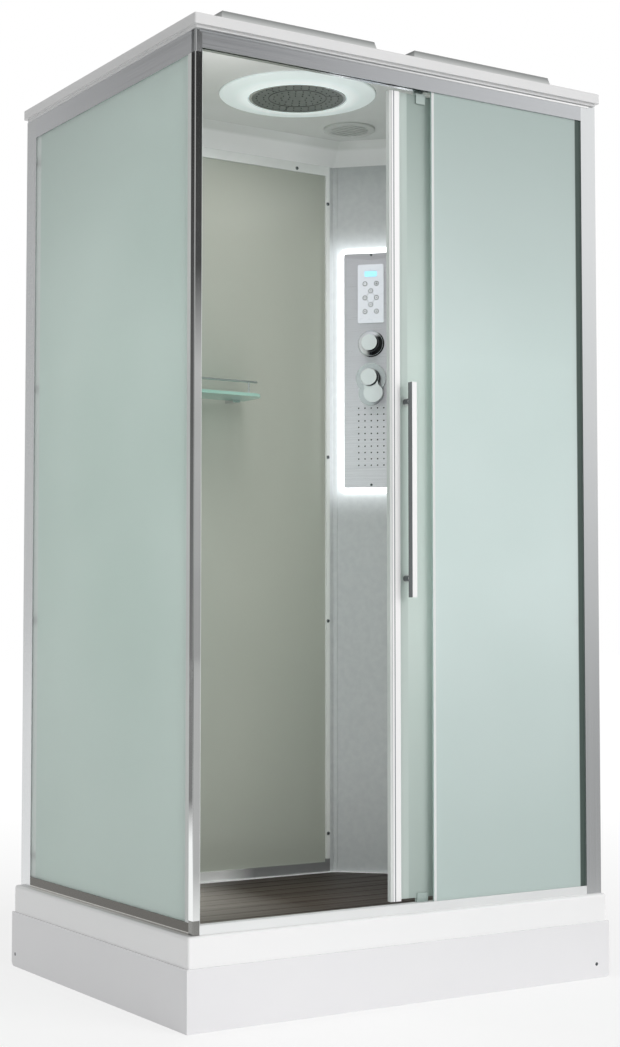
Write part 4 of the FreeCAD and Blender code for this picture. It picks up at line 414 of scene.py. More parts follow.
# %% Knobs and collars
def turned_chrome(name, lit, low, high):
    """Chrome in the column's own light: slopes that face down and right mirror the dark room."""
    material, node, place = start(name)
    smear = node("TexNoise", {"Vector": place, "Scale": FINGER_SMEAR, "Detail": 2.0})
    normal = node("TexCoord").outputs["Normal"]
    away = node("VectorMath", [normal, (0.62, -0.62, -0.48)], operation="DOT_PRODUCT")
    tone = node("Mix", [node("MapRange", [away, low, high]), lit, "#1E2024"], data_type="RGBA")
    gloss = node("MapRange", [smear, LOW, HIGH, 0.10, 0.15])
    metal = node("BsdfPrincipled", {"Base Color": tone, "Metallic": 0.6, "Roughness": gloss})
    node("OutputMaterial", {"Surface": metal})
    return material


paint(turned_chrome("chrome of the knobs", "#F6F7FA", 0.06, 0.35),
      "diverter_knob", "mixer_handle")
paint(turned_chrome("chrome of the collars", "#DFE1E5", -0.02, 0.22),
      "valve_collars", "mixer_dome")

# %% Side sill and corner blocks
def stepped_chrome(name, low_tone, high_tone, height, step):
    """Chrome whose lower edge and upper part mirror different things, parted at a height."""
    material, node, place = start(name)
    # 9 per metre: a smear about every 110 mm.
    smear = node("TexNoise", {"Vector": place, "Scale": 9.0, "Detail": 2.0})
    level = node("SeparateXYZ", [place]).outputs["Z"]
    tone = node("Mix", [node("MapRange", [level, height, height + step]), low_tone, high_tone],
                data_type="RGBA")
    gloss = node("MapRange", [smear, LOW, HIGH, 0.08, 0.14])
    metal = node("BsdfPrincipled", {"Base Color": tone, "Metallic": 0.9, "Roughness": gloss})
    node("OutputMaterial", {"Surface": metal})
    return material


# Painted reflections: a pale lower edge and a dark upper part.
paint(stepped_chrome("side sill chrome, painted reflections", "#CFCDC8", "#5A5853", 0.2015, 0.001),
      "side_sill")
# Painted reflection: the blocks below 1 m are darker than the ones at the top.
paint(stepped_chrome("cast corner blocks", "#8A8A87", "#D0D2D3", 1.0, 0.1), "corner_brackets")

# %% Handle and stile
def faced_chrome(name, front, flank, groove=None):
    """Bright flat bar: its front is lit, its flanks mirror the dark side; groove is the x of a line
    of painted shade.
    """
    material, node, place = start(name)
    smear = node("TexNoise", {"Vector": place, "Scale": HAND_SMEAR, "Detail": 2.0})
    facing = node("SeparateXYZ", [node("TexCoord").outputs["Normal"]]).outputs["X"]
    facing = node("Math", [facing], operation="ABSOLUTE")
    tone = node("Mix", [node("MapRange", [facing, 0.4, 0.8]), front, flank], data_type="RGBA")
    if groove:
        # Painted shade in a groove 2 mm wide, with soft edges.
        across = node("SeparateXYZ", [place]).outputs["X"]
        near = node("Math", [across, groove], operation="SUBTRACT")
        near = node("Math", [near], operation="ABSOLUTE")
        near = node("MapRange", [near, 0.0010, 0.0016, 1.0, 0.0])
        tone = node("Mix", [near, tone, "#80868A"], data_type="RGBA")
    gloss = node("MapRange", [smear, LOW, HIGH, 0.10, 0.15])
    metal = node("BsdfPrincipled", {"Base Color": tone, "Metallic": 0.1, "Roughness": gloss})
    node("OutputMaterial", {"Surface": metal})
    return material


paint(faced_chrome("polished flat bar", "#FFFFFF", "#767A7C"), "door_handle")
paint(faced_chrome("polished stile", "#FFFFFF", "#B9BDBE", groove=-0.0275), "door_stile")

# %% [markdown]
# The outer panes are float glass with one etched face. Etching scatters light instead of blocking
# it, so a pane glows softly with what is behind it and hides every outline. Along an upright edge a
# band is left clear. It is drawn as one flat painted tone in place of what shows through: painted
# shade from the post and from the fixed pane on the front and door panes, and a pale painted tone
# on the side pane, where light shows through.
# Glass is greenest at a cut edge, where the eye looks along the sheet.

# %% Etched glass
ETCH_CLOUDS = 1.6    # per metre: the spray's clouds are about 600 mm wide
ETCH_GRIT = 900.0    # per metre: grit of about 1 mm, far coarser than real so that it shows
BAND_BLUR = 0.0015   # metres on each side of a band's edge


def etched_glass(name, tones, across, band, painted_band_tone, facing, share=0.4, rim=None):
    """across: the axis along the pane; band: two values of it; facing: the axis it faces.

    tones: the etch, its deeper clouds, and a painted shade towards its top and bottom. share: the
    light that goes through.
    """
    material, node, place = start(name)
    cloud = node("TexNoise", {"Vector": place, "Scale": ETCH_CLOUDS, "Detail": 2.0})
    grit = node("TexNoise", {"Vector": place, "Scale": ETCH_GRIT, "Detail": 2.0})
    tone = node("Mix", [node("MapRange", [cloud, BROAD_LOW, BROAD_HIGH]), tones[0], tones[1]],
                data_type="RGBA")
    # Painted shade: the sheet is darker towards its top and bottom than at mid height.
    spots = node("SeparateXYZ", [place]).outputs
    ends = node("Math", [node("MapRange", [spots["Z"], 0.25, 0.95, 0.7, 0.0]),
                         node("MapRange", [spots["Z"], 1.45, 2.05])], operation="MAXIMUM")
    tone = node("Mix", [ends, tone, tones[2]], data_type="RGBA")
    first, last = band
    band = node("Math", [
        node("MapRange", [spots[across], first - BAND_BLUR, first + BAND_BLUR]),
        node("MapRange", [spots[across], last - BAND_BLUR, last + BAND_BLUR, 1.0, 0.0])],
        operation="MULTIPLY")
    # The band gets one flat painted tone: painted shade on the front and door panes, a pale painted
    # tone on the side pane.
    tone = node("Mix", [band, tone, painted_band_tone], data_type="RGBA")
    # A painted highlight: the fixed pane's polished left edge, up to x = rim, is painted white.
    if rim:
        edge = node("MapRange", [spots[across], rim, rim + 0.001, 1.0, 0.0])
        tone = node("Mix", [edge, tone, "#FFFFFF"], data_type="RGBA")
    # A cut edge is a face that is turned away from the pane's own direction.
    normal = node("SeparateXYZ", [node("TexCoord").outputs["Normal"]]).outputs[facing]
    normal = node("Math", [normal], operation="ABSOLUTE")
    cut = node("MapRange", [normal, 0.3, 0.7, 1.0, 0.0])
    tone = node("Mix", [cut, tone, "#D3E6E1"], data_type="RGBA")
    gloss = node("MapRange", [grit, LOW, HIGH, 0.34, 0.46])
    bump = node("Bump", {"Strength": 0.08, "Distance": 0.0004, "Height": grit})
    face = node("BsdfPrincipled", {"Base Color": tone, "Roughness": gloss, "IOR": 1.52,
                                   "Normal": bump})
    through = node("BsdfTranslucent", {"Color": tone})
    node("OutputMaterial", {"Surface": node("MixShader", [share, face, through])})
    return material


paint(etched_glass("etched glass, side", ("#EAF5F1", "#E2EFEA", "#DDE8E4"), "Y",
                   (0.365, 0.392), "#EDF3F1", "X"), "side_glass")
paint(etched_glass("etched glass, front", ("#EDF9F7", "#E6F4F1", "#CCDBD7"), "X",
                   (0.503, 0.52), "#52625C", "Y", share=0.3, rim=0.0765), "fixed_glass")
paint(etched_glass("etched glass, door", ("#EAF4F0", "#E3EFEA", "#BBC8C3"), "X",
                   (-0.02, 0.012), "#DCE6E2", "Y"), "door_glass")

# %% [markdown]
# The two room walls are glass painted on the back: the colour sits deep behind a mirror-flat face.

# %% Back-painted glass
material, node, place = start("back-painted glass")
# 1.3 per metre: the paint's thickness drifts about every 770 mm.
cloud = node("TexNoise", {"Vector": place, "Scale": 1.3, "Detail": 2.0})
tone = node("Mix", [node("MapRange", [cloud, BROAD_LOW, BROAD_HIGH]), "#AFB3A9", "#A6ABA1"],
            data_type="RGBA")
gloss = node("MapRange", [cloud, LOW, HIGH, 0.05, 0.09])
face = node("BsdfPrincipled", {"Base Color": tone, "Roughness": gloss, "IOR": 1.52,
                               "Coat Weight": 0.5, "Coat Roughness": 0.04})
node("OutputMaterial", {"Surface": face})
paint(material, "back_glass", "right_glass")

# %% [markdown]
# The column is a painted steel panel. The lit guide behind the controls washes over it. That wash
# is drawn as a glow of the paint itself, which fades with the distance from the guide's rim,
# because a real bounce of light so close to its source would need far more samples.

# %% Column panel
COLUMN = Vector((0.429414, 0.333414, 0))    # the middle of the column's plane
TURN = math.radians(-45)                    # the way it faces, about the upright axis
SIDE = (0.70711, -0.70711, 0)               # to the right along its face
COLUMN_ACROSS = 0.067883                    # COLUMN measured along SIDE
COLUMN_OUT = 0.539401                       # COLUMN measured against the way it faces
GUIDE_MIDDLE, GUIDE_HALF_WIDTH, GUIDE_HALF_HEIGHT = 1.5385, 0.086, 0.3275
SPILL_REACH = 0.095                         # metres that the glow reaches past the rim

material, node, place = start("painted steel")
# 60 per metre: the spray's orange peel is about 17 mm wide here, coarser than real.
peel = node("TexNoise", {"Vector": place, "Scale": 60.0, "Detail": 4.0})
tone = node("Mix", [node("MapRange", [peel, BROAD_LOW, BROAD_HIGH]), "#BDC1C1", "#B7BBBC"],
            data_type="RGBA")
gloss = node("MapRange", [peel, LOW, HIGH, 0.31, 0.41])
across = node("VectorMath", [place, SIDE], operation="DOT_PRODUCT")
height = node("SeparateXYZ", [place]).outputs["Z"]
squares = []
for value, middle, half in ((across, COLUMN_ACROSS, GUIDE_HALF_WIDTH),
                            (height, GUIDE_MIDDLE, GUIDE_HALF_HEIGHT)):
    value = node("Math", [value, middle], operation="SUBTRACT")
    value = node("Math", [value], operation="ABSOLUTE")
    value = node("Math", [value, half], operation="SUBTRACT")
    value = node("Math", [value, 0.0], operation="MAXIMUM")
    squares.append(node("Math", [value, 2.0], operation="POWER"))
far = node("Math", [node("Math", squares, operation="ADD")], operation="SQRT")
spill = node("MapRange", [far, 0.0, SPILL_REACH, 1.0, 0.0])
spill = node("Math", [spill, 2.6], operation="POWER")
spill = node("Math", [spill, 0.62], operation="MULTIPLY")
skin = node("BsdfPrincipled", {"Base Color": tone, "Roughness": gloss,
                               "Emission Color": "#F4FBFF", "Emission Strength": spill})
node("OutputMaterial", {"Surface": skin})
paint(material, "column_panel")

# %% [markdown]
# The light guide and the ring in the ceiling are opal acrylic over strips of diodes. The sheet
# hides the single diodes, but the glow stays a little uneven. The ring's inner rim is brighter,
# because its diodes sit round the rain head.

# %% Light guide and ring lamp
RING_MIDDLE = (-0.02, 0.008, 0)


def lit_acrylic(name, colour, strength, variation, centre=None):
    """Opal acrylic with lamps behind it; with a centre, it is brightest near that inner rim."""
    material, node, place = start(name)
    # 9 per metre: the diodes' light is uneven about every 110 mm.
    cloud = node("TexNoise", {"Vector": place, "Scale": 9.0, "Detail": 2.0})
    power = node("MapRange", [cloud, LOW, HIGH, strength - variation, strength + variation])
    if centre:
        out = node("VectorMath", [place, centre], operation="SUBTRACT")
        flat = node("VectorMath", [out, (1, 1, 0)], operation="MULTIPLY")
        reach = node("VectorMath", [flat], operation="LENGTH")
        power = node("Math", [power, node("MapRange", [reach, 0.115, 0.16, 2.3, 1.15])],
                     operation="MULTIPLY")
    skin = node("BsdfPrincipled", {"Base Color": colour, "Roughness": 0.3,
                                   "Emission Color": colour, "Emission Strength": power})
    node("OutputMaterial", {"Surface": skin})
    return material


paint(lit_acrylic("lit opal acrylic, column", "#FDFEFF", 2.2, 0.1), "light_guide")
paint(lit_acrylic("lit opal acrylic, ring", "#D6DFDE", 0.24, 0.01, RING_MIDDLE), "lamp_diffuser")

# %% [markdown]
# The control plate is stainless steel, brushed across. Brushing leaves parallel scratches a few
# tenths of a millimetre apart, drawn here a little coarser so that they show. It is a little
# darker towards its top, where it mirrors the darker upper room.

# %% Brushed stainless steel
BRUSH_LINES = 1400    # per metre: scratches about 0.7 mm apart
BRUSH_LENGTH = 6      # per metre: a scratch runs for about 170 mm

material, node, place = start("brushed stainless steel")
stretched = node("Mapping", {"Vector": place, "Scale": (BRUSH_LENGTH, BRUSH_LENGTH, BRUSH_LINES)})
lines = node("TexNoise", {"Vector": stretched, "Scale": 1.0, "Detail": 3.0})
upper = node("MapRange", [node("SeparateXYZ", [place]).outputs["Z"], 1.30, 1.80])
tone = node("Mix", [upper, "#F3F2F7", "#CBCAD0"], data_type="RGBA")
tone = node("Mix", [node("MapRange", [lines, LOW, HIGH, 0.0, 0.6]), tone, "#CBCAD0"],
            data_type="RGBA")
gloss = node("MapRange", [lines, LOW, HIGH, 0.27, 0.33])
bump = node("Bump", {"Strength": 0.03, "Distance": 0.0003, "Height": lines})
metal = node("BsdfPrincipled", {"Base Color": tone, "Metallic": 0.4, "Roughness": gloss,
                                "Normal": bump})
node("OutputMaterial", {"Surface": metal})
paint(material, "faceplate", "steam_generator")

# %% [markdown]
# Smaller parts: moulded plastics, rubber, shelf glass and zinc. Moulded plastic is a soft gloss
# over a fine grain, rubber is duller, and zinc is a grey metal with a spangle of crystals.

# %% Plastics, rubber and zinc
def coated(name, colour, shade, roughness, scale=60.0, relief=0.0003, metallic=0.0):
    """A smooth moulded, painted or cast finish with a fine grain of its own.

    scale is in grains per metre: 60 is one every 17 mm, as coarse as it needs to show.
    """
    material, node, place = start(name)
    fine = node("TexNoise", {"Vector": place, "Scale": scale, "Detail": 4.0})
    # 3 per metre: the moulding's tone drifts about every 330 mm.
    drift = node("TexNoise", {"Vector": place, "Scale": 3.0, "Detail": 2.0})
    tone = node("Mix", [node("MapRange", [drift, BROAD_LOW, BROAD_HIGH]), colour, shade],
                data_type="RGBA")
    gloss = node("MapRange", [fine, LOW, HIGH, roughness - 0.04, roughness + 0.06])
    bump = node("Bump", {"Strength": 0.15, "Distance": relief, "Height": fine})
    skin = node("BsdfPrincipled", {"Base Color": tone, "Roughness": gloss,
                                   "Metallic": metallic, "Normal": bump})
    node("OutputMaterial", {"Surface": skin})
    return material


paint(coated("keypad film", "#F6F9FF", "#F1F4FC", 0.3), "keypad_case")
paint(coated("key film", "#FAFCFF", "#F5F7FD", 0.28), *[n for n in nodes if n.startswith("key_")])
paint(coated("moulded ABS", "#BDC0BD", "#B8BAB8", 0.4), "fan_housing", "fan_rotor")
paint(coated("sanitary polypropylene", "#DADAD6", "#D2D2CE", 0.45), "waste_trap")
paint(coated("seal rubber", "#E2E5E3", "#D8DCDA", 0.5), "door_seals", "glazing_seals")
paint(coated("black nylon", "#3C3F40", "#343738", 0.4), "roller_wheel_left", "roller_wheel_right")
paint(coated("frosted polycarbonate", "#B4C2BD", "#ABBAB5", 0.3), "door_guides", "roller_carriers")
paint(coated("clear shelf glass", "#9FC4B8", "#96BCAF", 0.05), "shelf_glass")
paint(coated("perforated nozzle plate", "#6A706C", "#606662", 0.4), "rain_face")
# Zinc spangle: 22 per metre is a crystal every 45 mm, coarser than real so that it shows.
paint(coated("galvanised steel", "#9A9D9F", "#858A8D", 0.45, 22.0, 0.0004, 1.0), "base_frame")
paint(coated("zinc plated steel", "#A7A9AA", "#999B9C", 0.35, metallic=1.0), "levelling_feet")

# %% [markdown]
# The valve block is cast brass. Its jets reach through the plate; their tips, more than 6 to 8 mm
# out from the column's middle plane, are painted black and matt, as painted shade in the plate's
# jet holes.

# %% Brass with painted shade at the jet tips
material, node, place = start("cast brass, painted shade on the jet tips")
# 90 per metre: the sand's grain is about 11 mm here, coarser than real so that it shows.
sand = node("TexNoise", {"Vector": place, "Scale": 90.0, "Detail": 4.0})
out = node("VectorMath", [place, (-0.70711, -0.70711, 0)], operation="DOT_PRODUCT")
out = node("Math", [out, COLUMN_OUT], operation="ADD")
# Painted shade: past 6 to 8 mm out, the jet tips turn dark and matt.
tip = node("MapRange", [out, 0.006, 0.008])
brass = node("Mix", [sand, "#C9A24E", "#B88F3E"], data_type="RGBA")
tone = node("Mix", [tip, brass, "#16171A"], data_type="RGBA")
metal = node("Math", [1.0, tip], operation="SUBTRACT")
gloss = node("MapRange", [sand, LOW, HIGH, 0.32, 0.42])
shine = node("MapRange", [tip, 0, 1, 0.5, 0.05])
skin = node("BsdfPrincipled", {"Base Color": tone, "Roughness": gloss, "Metallic": metal,
                               "Specular IOR Level": shine})
node("OutputMaterial", {"Surface": skin})
paint(material, "valve_block")

# %% [markdown]
# The slats are stained, oiled wood. Wood grain is rings cut lengthwise, so it is a noise that is
# stretched along the slat, with finer pores over it, and every slat has a tone of its own.

# %% Stained slats
GRAIN_LENGTH = 3      # per metre: a figure runs for about 330 mm along the slat
GRAIN_LINES = 110     # per metre: grain lines about 9 mm apart across it
PORES = 7.0           # pores for each grain line: about 1.3 mm apart
SLAT_PITCH = 0.0655   # metres from one slat to the next

material, node, place = start("oiled wood")
stretched = node("Mapping", {"Vector": place, "Scale": (GRAIN_LENGTH, GRAIN_LINES, GRAIN_LINES)})
grain = node("TexNoise", {"Vector": stretched, "Scale": 1.0, "Detail": 5.0, "Distortion": 0.6})
pores = node("TexNoise", {"Vector": stretched, "Scale": PORES, "Detail": 2.0})
tone = node("Mix", [node("MapRange", [grain, 0.35, 0.68]), "#3E352E", "#2C2520"],
            data_type="RGBA")
tone = node("Mix", [node("MapRange", [pores, 0.55, 0.75, 0.0, 0.5]), tone, "#1A1714"],
            data_type="RGBA")
across, depth, _ = node("SeparateXYZ", [place]).outputs
slat = node("Math", [depth, SLAT_PITCH], operation="DIVIDE")
slat = node("Math", [slat], operation="FLOOR")
own = node("TexWhiteNoise", {"W": slat}, noise_dimensions="1D")
tone = node("Mix", [node("MapRange", [own, 0, 1, 0.0, 0.22]), tone, "#443B33"],
            data_type="RGBA")
# Painted reflection: by the entrance the slats are painted pale, where they mirror the bright side
# pane.
painted_glare = node("Math", [node("MapRange", [across, -0.42, -0.02, 1.0, 0.0]),
                     node("MapRange", [depth, -0.22, 0.22])], operation="MULTIPLY")
painted_glare = node("Math", [painted_glare, 0.95], operation="MULTIPLY")
tone = node("Mix", [painted_glare, tone, "#C6C2BA"], data_type="RGBA")
gloss = node("MapRange", [grain, LOW, HIGH, 0.35, 0.47])
bump = node("Bump", {"Strength": 0.25, "Distance": 0.0006, "Height": grain})
skin = node("BsdfPrincipled", {"Base Color": tone, "Roughness": gloss, "Normal": bump,
                               "Specular IOR Level": 0.12})
node("OutputMaterial", {"Surface": skin})
paint(material, "floor_deck")

# %% [markdown]
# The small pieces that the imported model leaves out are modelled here, each with the edit tools a
# modeller would use by hand. These helpers begin a piece, pick faces by the way they point, and
# close a piece: its place goes into its mesh, so that its object sits at the origin.

# %% Modelling helpers
COLUMN_OUTWARD = Vector((math.sin(TURN), -math.cos(TURN), 0))


def on_column(x, z, depth):
    """A place on the column: x to the right along its face, depth out from its middle plane."""
    side = Vector((math.cos(TURN), math.sin(TURN), 0))
    return COLUMN + side * x + COLUMN_OUTWARD * depth + Vector((0, 0, z))


def alone(piece):
    bpy.ops.object.select_all(action="DESELECT")
    piece.select_set(True)
    bpy.context.view_layer.objects.active = piece


def keep_scale(piece):
    """Put a piece's stretch into its mesh, so that bevels come out even."""
    alone(piece)
    bpy.ops.object.transform_apply(location=False, rotation=False, scale=True)


def pick(piece, test, kind="FACE"):
    """In edit mode, select the faces or edges that pass a test of centre and direction."""
    bpy.ops.object.mode_set(mode="EDIT")
    bpy.ops.mesh.select_mode(type=kind)
    bpy.ops.mesh.select_all(action="DESELECT")
    mesh = bmesh.from_edit_mesh(piece.data)
    for item in (mesh.faces if kind == "FACE" else mesh.edges):
        if kind == "FACE":
            chosen = test(item.calc_center_median(), item.normal)
        else:
            one, two = (corner.co for corner in item.verts)
            chosen = test((one + two) / 2, (two - one).normalized())
        item.select_set(chosen)
    bmesh.update_edit_mesh(piece.data)


def thicken(way):
    """In edit mode, pull a flat piece out along a way into a closed body."""
    bpy.ops.mesh.select_all(action="SELECT")
    bpy.ops.mesh.extrude_region_move()
    bpy.ops.transform.translate(value=way)
    bpy.ops.mesh.select_all(action="SELECT")
    bpy.ops.mesh.normals_make_consistent(inside=False)


def close(piece, name, material, body, angle=35):
    """Name and finish a piece, put its place into its mesh and let it ride on a body."""
    if bpy.context.mode != "OBJECT":
        bpy.ops.object.mode_set(mode="OBJECT")
    alone(piece)
    bpy.ops.object.transform_apply(location=True, rotation=True, scale=True)
    bpy.ops.object.shade_smooth_by_angle(angle=math.radians(angle))
    piece.name = name
    piece.data.name = name
    piece.data.materials.clear()
    piece.data.materials.append(material)
    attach(piece, body)
    return piece


print("column faces:", [round(v, 3) for v in COLUMN_OUTWARD])

# %% [markdown]
# The display is a small lit window in the keypad: a raised lens with rounded corners over a cyan
# glow. It starts as a flat plate, its corners are bevelled round, and its front is inset and
# pulled out a little.

# %% Display window
bpy.ops.mesh.primitive_cube_add(size=1, location=on_column(0, 1.803, 0.0264),
                                rotation=(0, 0, TURN), scale=(0.034, 0.0014, 0.015))
display = bpy.context.object
keep_scale(display)
pick(display, lambda centre, way: abs(way.y) > 0.9, "EDGE")
bpy.ops.mesh.bevel(offset=0.0035, segments=5)
pick(display, lambda centre, way: way.y < -0.9)
bpy.ops.mesh.inset(thickness=0.0012)
bpy.ops.transform.translate(value=(-0.0003, -0.0003, 0))
bpy.ops.object.mode_set(mode="OBJECT")
material, node, place = start("lit display lens")
# 400 per metre: the lens is uneven about every 2.5 mm, as over a grid of segments.
stretched = node("Mapping", {"Vector": place, "Scale": (400, 400, 400)})
dots = node("TexNoise", {"Vector": stretched, "Scale": 1.0, "Detail": 1.0})
power = node("MapRange", [dots, LOW, HIGH, 0.45, 0.8])
lens = node("BsdfPrincipled", {"Base Color": "#A9DDF0", "Roughness": 0.1,
                               "Emission Color": "#8FD9F5", "Emission Strength": power})
node("OutputMaterial", {"Surface": lens})
close(display, "display_window", material, "cabin")
print("display:", [round(v * 1000, 1) for v in display.dimensions], "mm")

# %% [markdown]
# Each key has a printed ring and a plain sign. A ring is one slim torus, sunk into its key's
# face, one for every key. The signs are discs of few corners: the arrows have three.

# %% Key rings
# 300 per metre: the ink's grain is about 3 mm here, coarser than real.
ink = coated("black screen ink", "#101318", "#0C0F14", 0.6, 300.0, 0.00005)
KEY_FACE = 0.0271    # how far the keys' faces stand out from the column's middle plane
KEYS = {"power": (-0.016, 1.776), "light": (0.016, 1.776), "up": (0, 1.756), "down": (0, 1.718),
        "left": (-0.016, 1.737), "right": (0.016, 1.737), "fan": (-0.016, 1.699),
        "steam": (0.016, 1.699)}
# Each sign's corners, its turn in degrees and its radius.
SIGNS = {"up": (3, 0, 0.0021), "down": (3, 180, 0.0021), "left": (3, -90, 0.0021),
         "right": (3, 90, 0.0021), "light": (12, 0, 0.0022), "power": (4, 45, 0.0015),
         "fan": (6, 0, 0.0019), "steam": (5, 0, 0.0019)}

for key, (x, z) in KEYS.items():
    bpy.ops.mesh.primitive_torus_add(major_radius=0.0056, minor_radius=0.0007, major_segments=32,
                                     minor_segments=6, location=on_column(x, z, KEY_FACE),
                                     rotation=(math.pi / 2, 0, TURN))
    close(bpy.context.object, f"ring_{key}", ink, f"button_{key}", 60)

print("rings:", len(KEYS))

# %% Key signs
for key, (corners, turn, radius) in SIGNS.items():
    middle = on_column(*KEYS[key], KEY_FACE - 0.0001)
    bpy.ops.mesh.primitive_circle_add(vertices=corners, radius=radius, fill_type="NGON",
                                      location=middle, rotation=(math.pi / 2, 0, TURN))
    sign = bpy.context.object
    alone(sign)
    bpy.ops.object.mode_set(mode="EDIT")
    bpy.ops.mesh.select_all(action="SELECT")
    bpy.ops.transform.rotate(value=math.radians(turn), orient_axis="Z", orient_type="LOCAL",
                             center_override=middle)
    thicken(COLUMN_OUTWARD * 0.0003)
    close(sign, f"sign_{key}", ink, f"button_{key}")

print("signs:", len(SIGNS))

# %% Lines between the arrow keys
# Four slim lines join them into a diamond.
for number, (x, z, tilt) in enumerate(((-0.008, 1.7465, 50), (0.008, 1.7465, -50),
                                       (-0.008, 1.7275, -50), (0.008, 1.7275, 50))):
    bpy.ops.mesh.primitive_cylinder_add(vertices=6, radius=0.0003, depth=0.0095,
                                        location=on_column(x, z, 0.0261),
                                        rotation=(0, math.radians(90 - tilt), TURN))
    line = bpy.context.object
    pick(line, lambda centre, way: abs(way.z) < 0.5, "EDGE")
    bpy.ops.mesh.bevel(offset=0.0001, segments=1)
    close(line, f"diamond_line_{number}", ink, "cabin")
print("last line:", line.name)

# %% [markdown]
# Screws hold the wall rails, the control plate and the skirt. They are pan heads with a cross
# recess: a disc whose upper edge is bevelled round, and two slim dark bars that cross on top.
# One is modelled for each place, each with its own mesh.

# %% Screws
# 200 per metre: the drawing marks are about 5 mm here, coarser than real.
steel = coated("stainless steel screws", "#8B8F92", "#7D8184", 0.25, 200.0, 0.0001, 0.9)
recess = coated("shadowed recess", "#26282A", "#1E2022", 0.5, 200.0, 0.0001)
RAIL_SCREW, SKIRT_SCREW, PLATE_SCREW = 0.0050, 0.0055, 0.0036    # radii of the heads
SUNK = 0.0012                                                    # depth of the skirt's screws


def screw(name, place, out, radius, body="cabin"):
    """A pan head at a place, pointing out: disc, domed edge, and a dark cross on top."""
    out = Vector(out).normalized()
    turn = out.to_track_quat("Z", "Y").to_euler()
    bpy.ops.mesh.primitive_cylinder_add(vertices=24, radius=radius, depth=radius * 0.5,
                                        location=place, rotation=turn)
    head = bpy.context.object
    pick(head, lambda centre, way: abs(way.z) < 0.1 and centre.z > 0, "EDGE")
    bpy.ops.mesh.bevel(offset=radius * 0.35, segments=4)
    close(head, name, steel, body)
    tip = Vector(place) + out * radius * 0.26
    for number, spin in enumerate((0.25, 0.75)):
        bpy.ops.mesh.primitive_circle_add(vertices=8, radius=radius * 0.55, fill_type="NGON",
                                          location=tip, rotation=turn)
        bar = bpy.context.object
        bar.scale = (0.28, 1.0, 1.0)
        bar.rotation_euler.rotate_axis("Z", math.pi * spin)
        keep_scale(bar)
        bpy.ops.object.mode_set(mode="EDIT")
        thicken(out * radius * 0.04)
        close(bar, f"{name}_slot_{number}", recess, body)


# %% A screw for each place
screw("rail_screw_top", (0.231, 0.4095, 2.0935), (0, -1, 0), RAIL_SCREW)
for number, height in enumerate((2.006, 1.3, 0.849, 0.270)):
    screw(f"rail_screw_{number}", (0.3325, 0.4095, height), (0, -1, 0), RAIL_SCREW)
left_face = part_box("left_apron")[0][0]
front_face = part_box("front_apron")[0][1]
screw("skirt_screw_left", (left_face + SUNK, 0.43, 0.030), (-1, 0, 0), SKIRT_SCREW)
screw("skirt_screw_front", (0.535, front_face + SUNK, 0.033), (0, -1, 0), SKIRT_SCREW)
screw("plate_screw_top", on_column(0, 1.857, 0.0223), COLUMN_OUTWARD, PLATE_SCREW)
screw("plate_screw_low", on_column(0, 1.221, 0.0223), COLUMN_OUTWARD, PLATE_SCREW)

# %% [markdown]
# The rain head's face is moulded in sectors, with a ring of seams and rows of soft nozzles that
# are rubbed clean with a thumb. A nozzle is a short cone of eight sides. The rows are rings of
# copies, joined into one piece.

# %% Nozzles of the rain head
NOZZLE_ROWS = ((0.2, 8), (0.36, 14), (0.52, 20), (0.74, 28), (0.9, 34))    # share of radius, count
low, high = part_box("rain_face")
face_middle = (Vector(low) + Vector(high)) / 2
face_radius = (high[0] - low[0]) / 2
face_under = low[2]
rubber_tip = coated("nozzle rubber", "#454A47", "#3C413E", 0.45)
nozzles = []
for share, count in NOZZLE_ROWS:
    for step in range(count):
        angle = 2 * math.pi * step / count
        spot = (face_middle.x + math.cos(angle) * share * face_radius,
                face_middle.y + math.sin(angle) * share * face_radius, face_under - 0.0006)
        bpy.ops.mesh.primitive_cone_add(vertices=8, radius1=0.0022, radius2=0.0013, depth=0.0024,
                                        location=spot, rotation=(math.pi, 0, 0))
        nozzles.append(bpy.context.object)
bpy.ops.object.select_all(action="DESELECT")
for nozzle in nozzles:
    nozzle.select_set(True)
bpy.context.view_layer.objects.active = nozzles[0]
bpy.ops.object.join()
close(nozzles[0], "rain_nozzles", rubber_tip, "cabin")
print("nozzles:", sum(count for share, count in NOZZLE_ROWS))

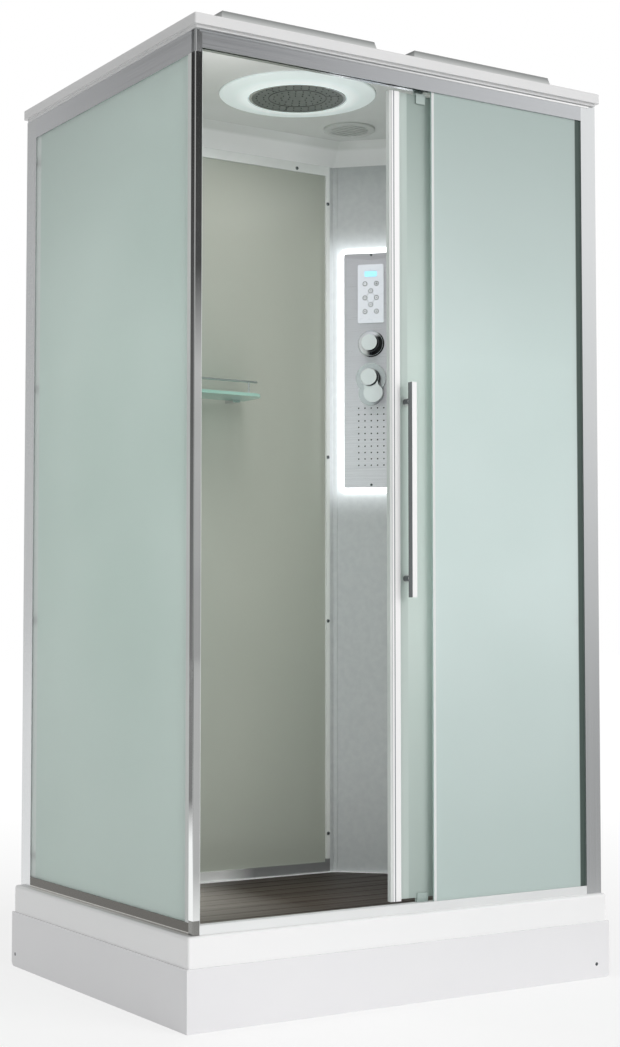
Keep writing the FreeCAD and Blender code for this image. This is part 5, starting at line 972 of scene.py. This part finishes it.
# %% Seams of the rain head
bpy.ops.mesh.primitive_torus_add(major_radius=face_radius * 0.63, minor_radius=0.0009,
                                 major_segments=72, minor_segments=6,
                                 location=(face_middle.x, face_middle.y, face_under))
close(bpy.context.object, "rain_seam_ring", recess, "cabin", 60)
for number, angle in enumerate(math.radians(degrees) for degrees in (75, 195, 315)):
    middle = face_middle + Vector((math.cos(angle), math.sin(angle), 0)) * face_radius * 0.81
    bpy.ops.mesh.primitive_cube_add(size=1, location=(middle.x, middle.y, face_under),
                                    rotation=(0, 0, angle),
                                    scale=(face_radius * 0.36, 0.0016, 0.001))
    seam = bpy.context.object
    keep_scale(seam)
    pick(seam, lambda centre, way: True, "EDGE")
    bpy.ops.mesh.bevel(offset=0.0003, segments=2)
    close(seam, f"rain_seam_{number}", recess, "cabin")
print("last seam:", seam.name)

# %% [markdown]
# A bright bead runs along the top of the front header, under the roof's lip. It is a slim bar with
# rounded long edges, which is what draws the white line below the lip. Its tone is a painted
# highlight: grey at the left, white towards the right.

# %% Header bead
bpy.ops.mesh.primitive_cube_add(size=1, location=(0.0, -0.4343, 2.1062),
                                scale=(1.088, 0.0022, 0.0050))
bead = bpy.context.object
keep_scale(bead)
pick(bead, lambda centre, way: abs(way.x) > 0.9, "EDGE")
bpy.ops.mesh.bevel(offset=0.0009, segments=3)
material, node, place = start("bead with painted highlight")
along = node("MapRange", [node("SeparateXYZ", [place]).outputs["X"], -0.45, 0.30])
# 12 per metre: a smear about every 80 mm.
smear = node("TexNoise", {"Vector": place, "Scale": 12.0, "Detail": 2.0})
gloss = node("MapRange", [smear, LOW, HIGH, 0.08, 0.12])
# Painted highlight: grey at the left end, turning white towards the right.
tone = node("Mix", [along, "#A4A7A9", "#FFFFFF"], data_type="RGBA")
skin = node("BsdfPrincipled", {"Base Color": tone, "Metallic": 0.2, "Roughness": gloss})
node("OutputMaterial", {"Surface": skin})
close(bead, "header_bead", material, "cabin")
print("bead:", [round(v * 1000, 1) for v in bead.dimensions], "mm")

# %% [markdown]
# The details must not make the cabin bigger than its model, so the box of the finished cabin is
# taken here.

# %% The finished cabin's size
low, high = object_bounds()
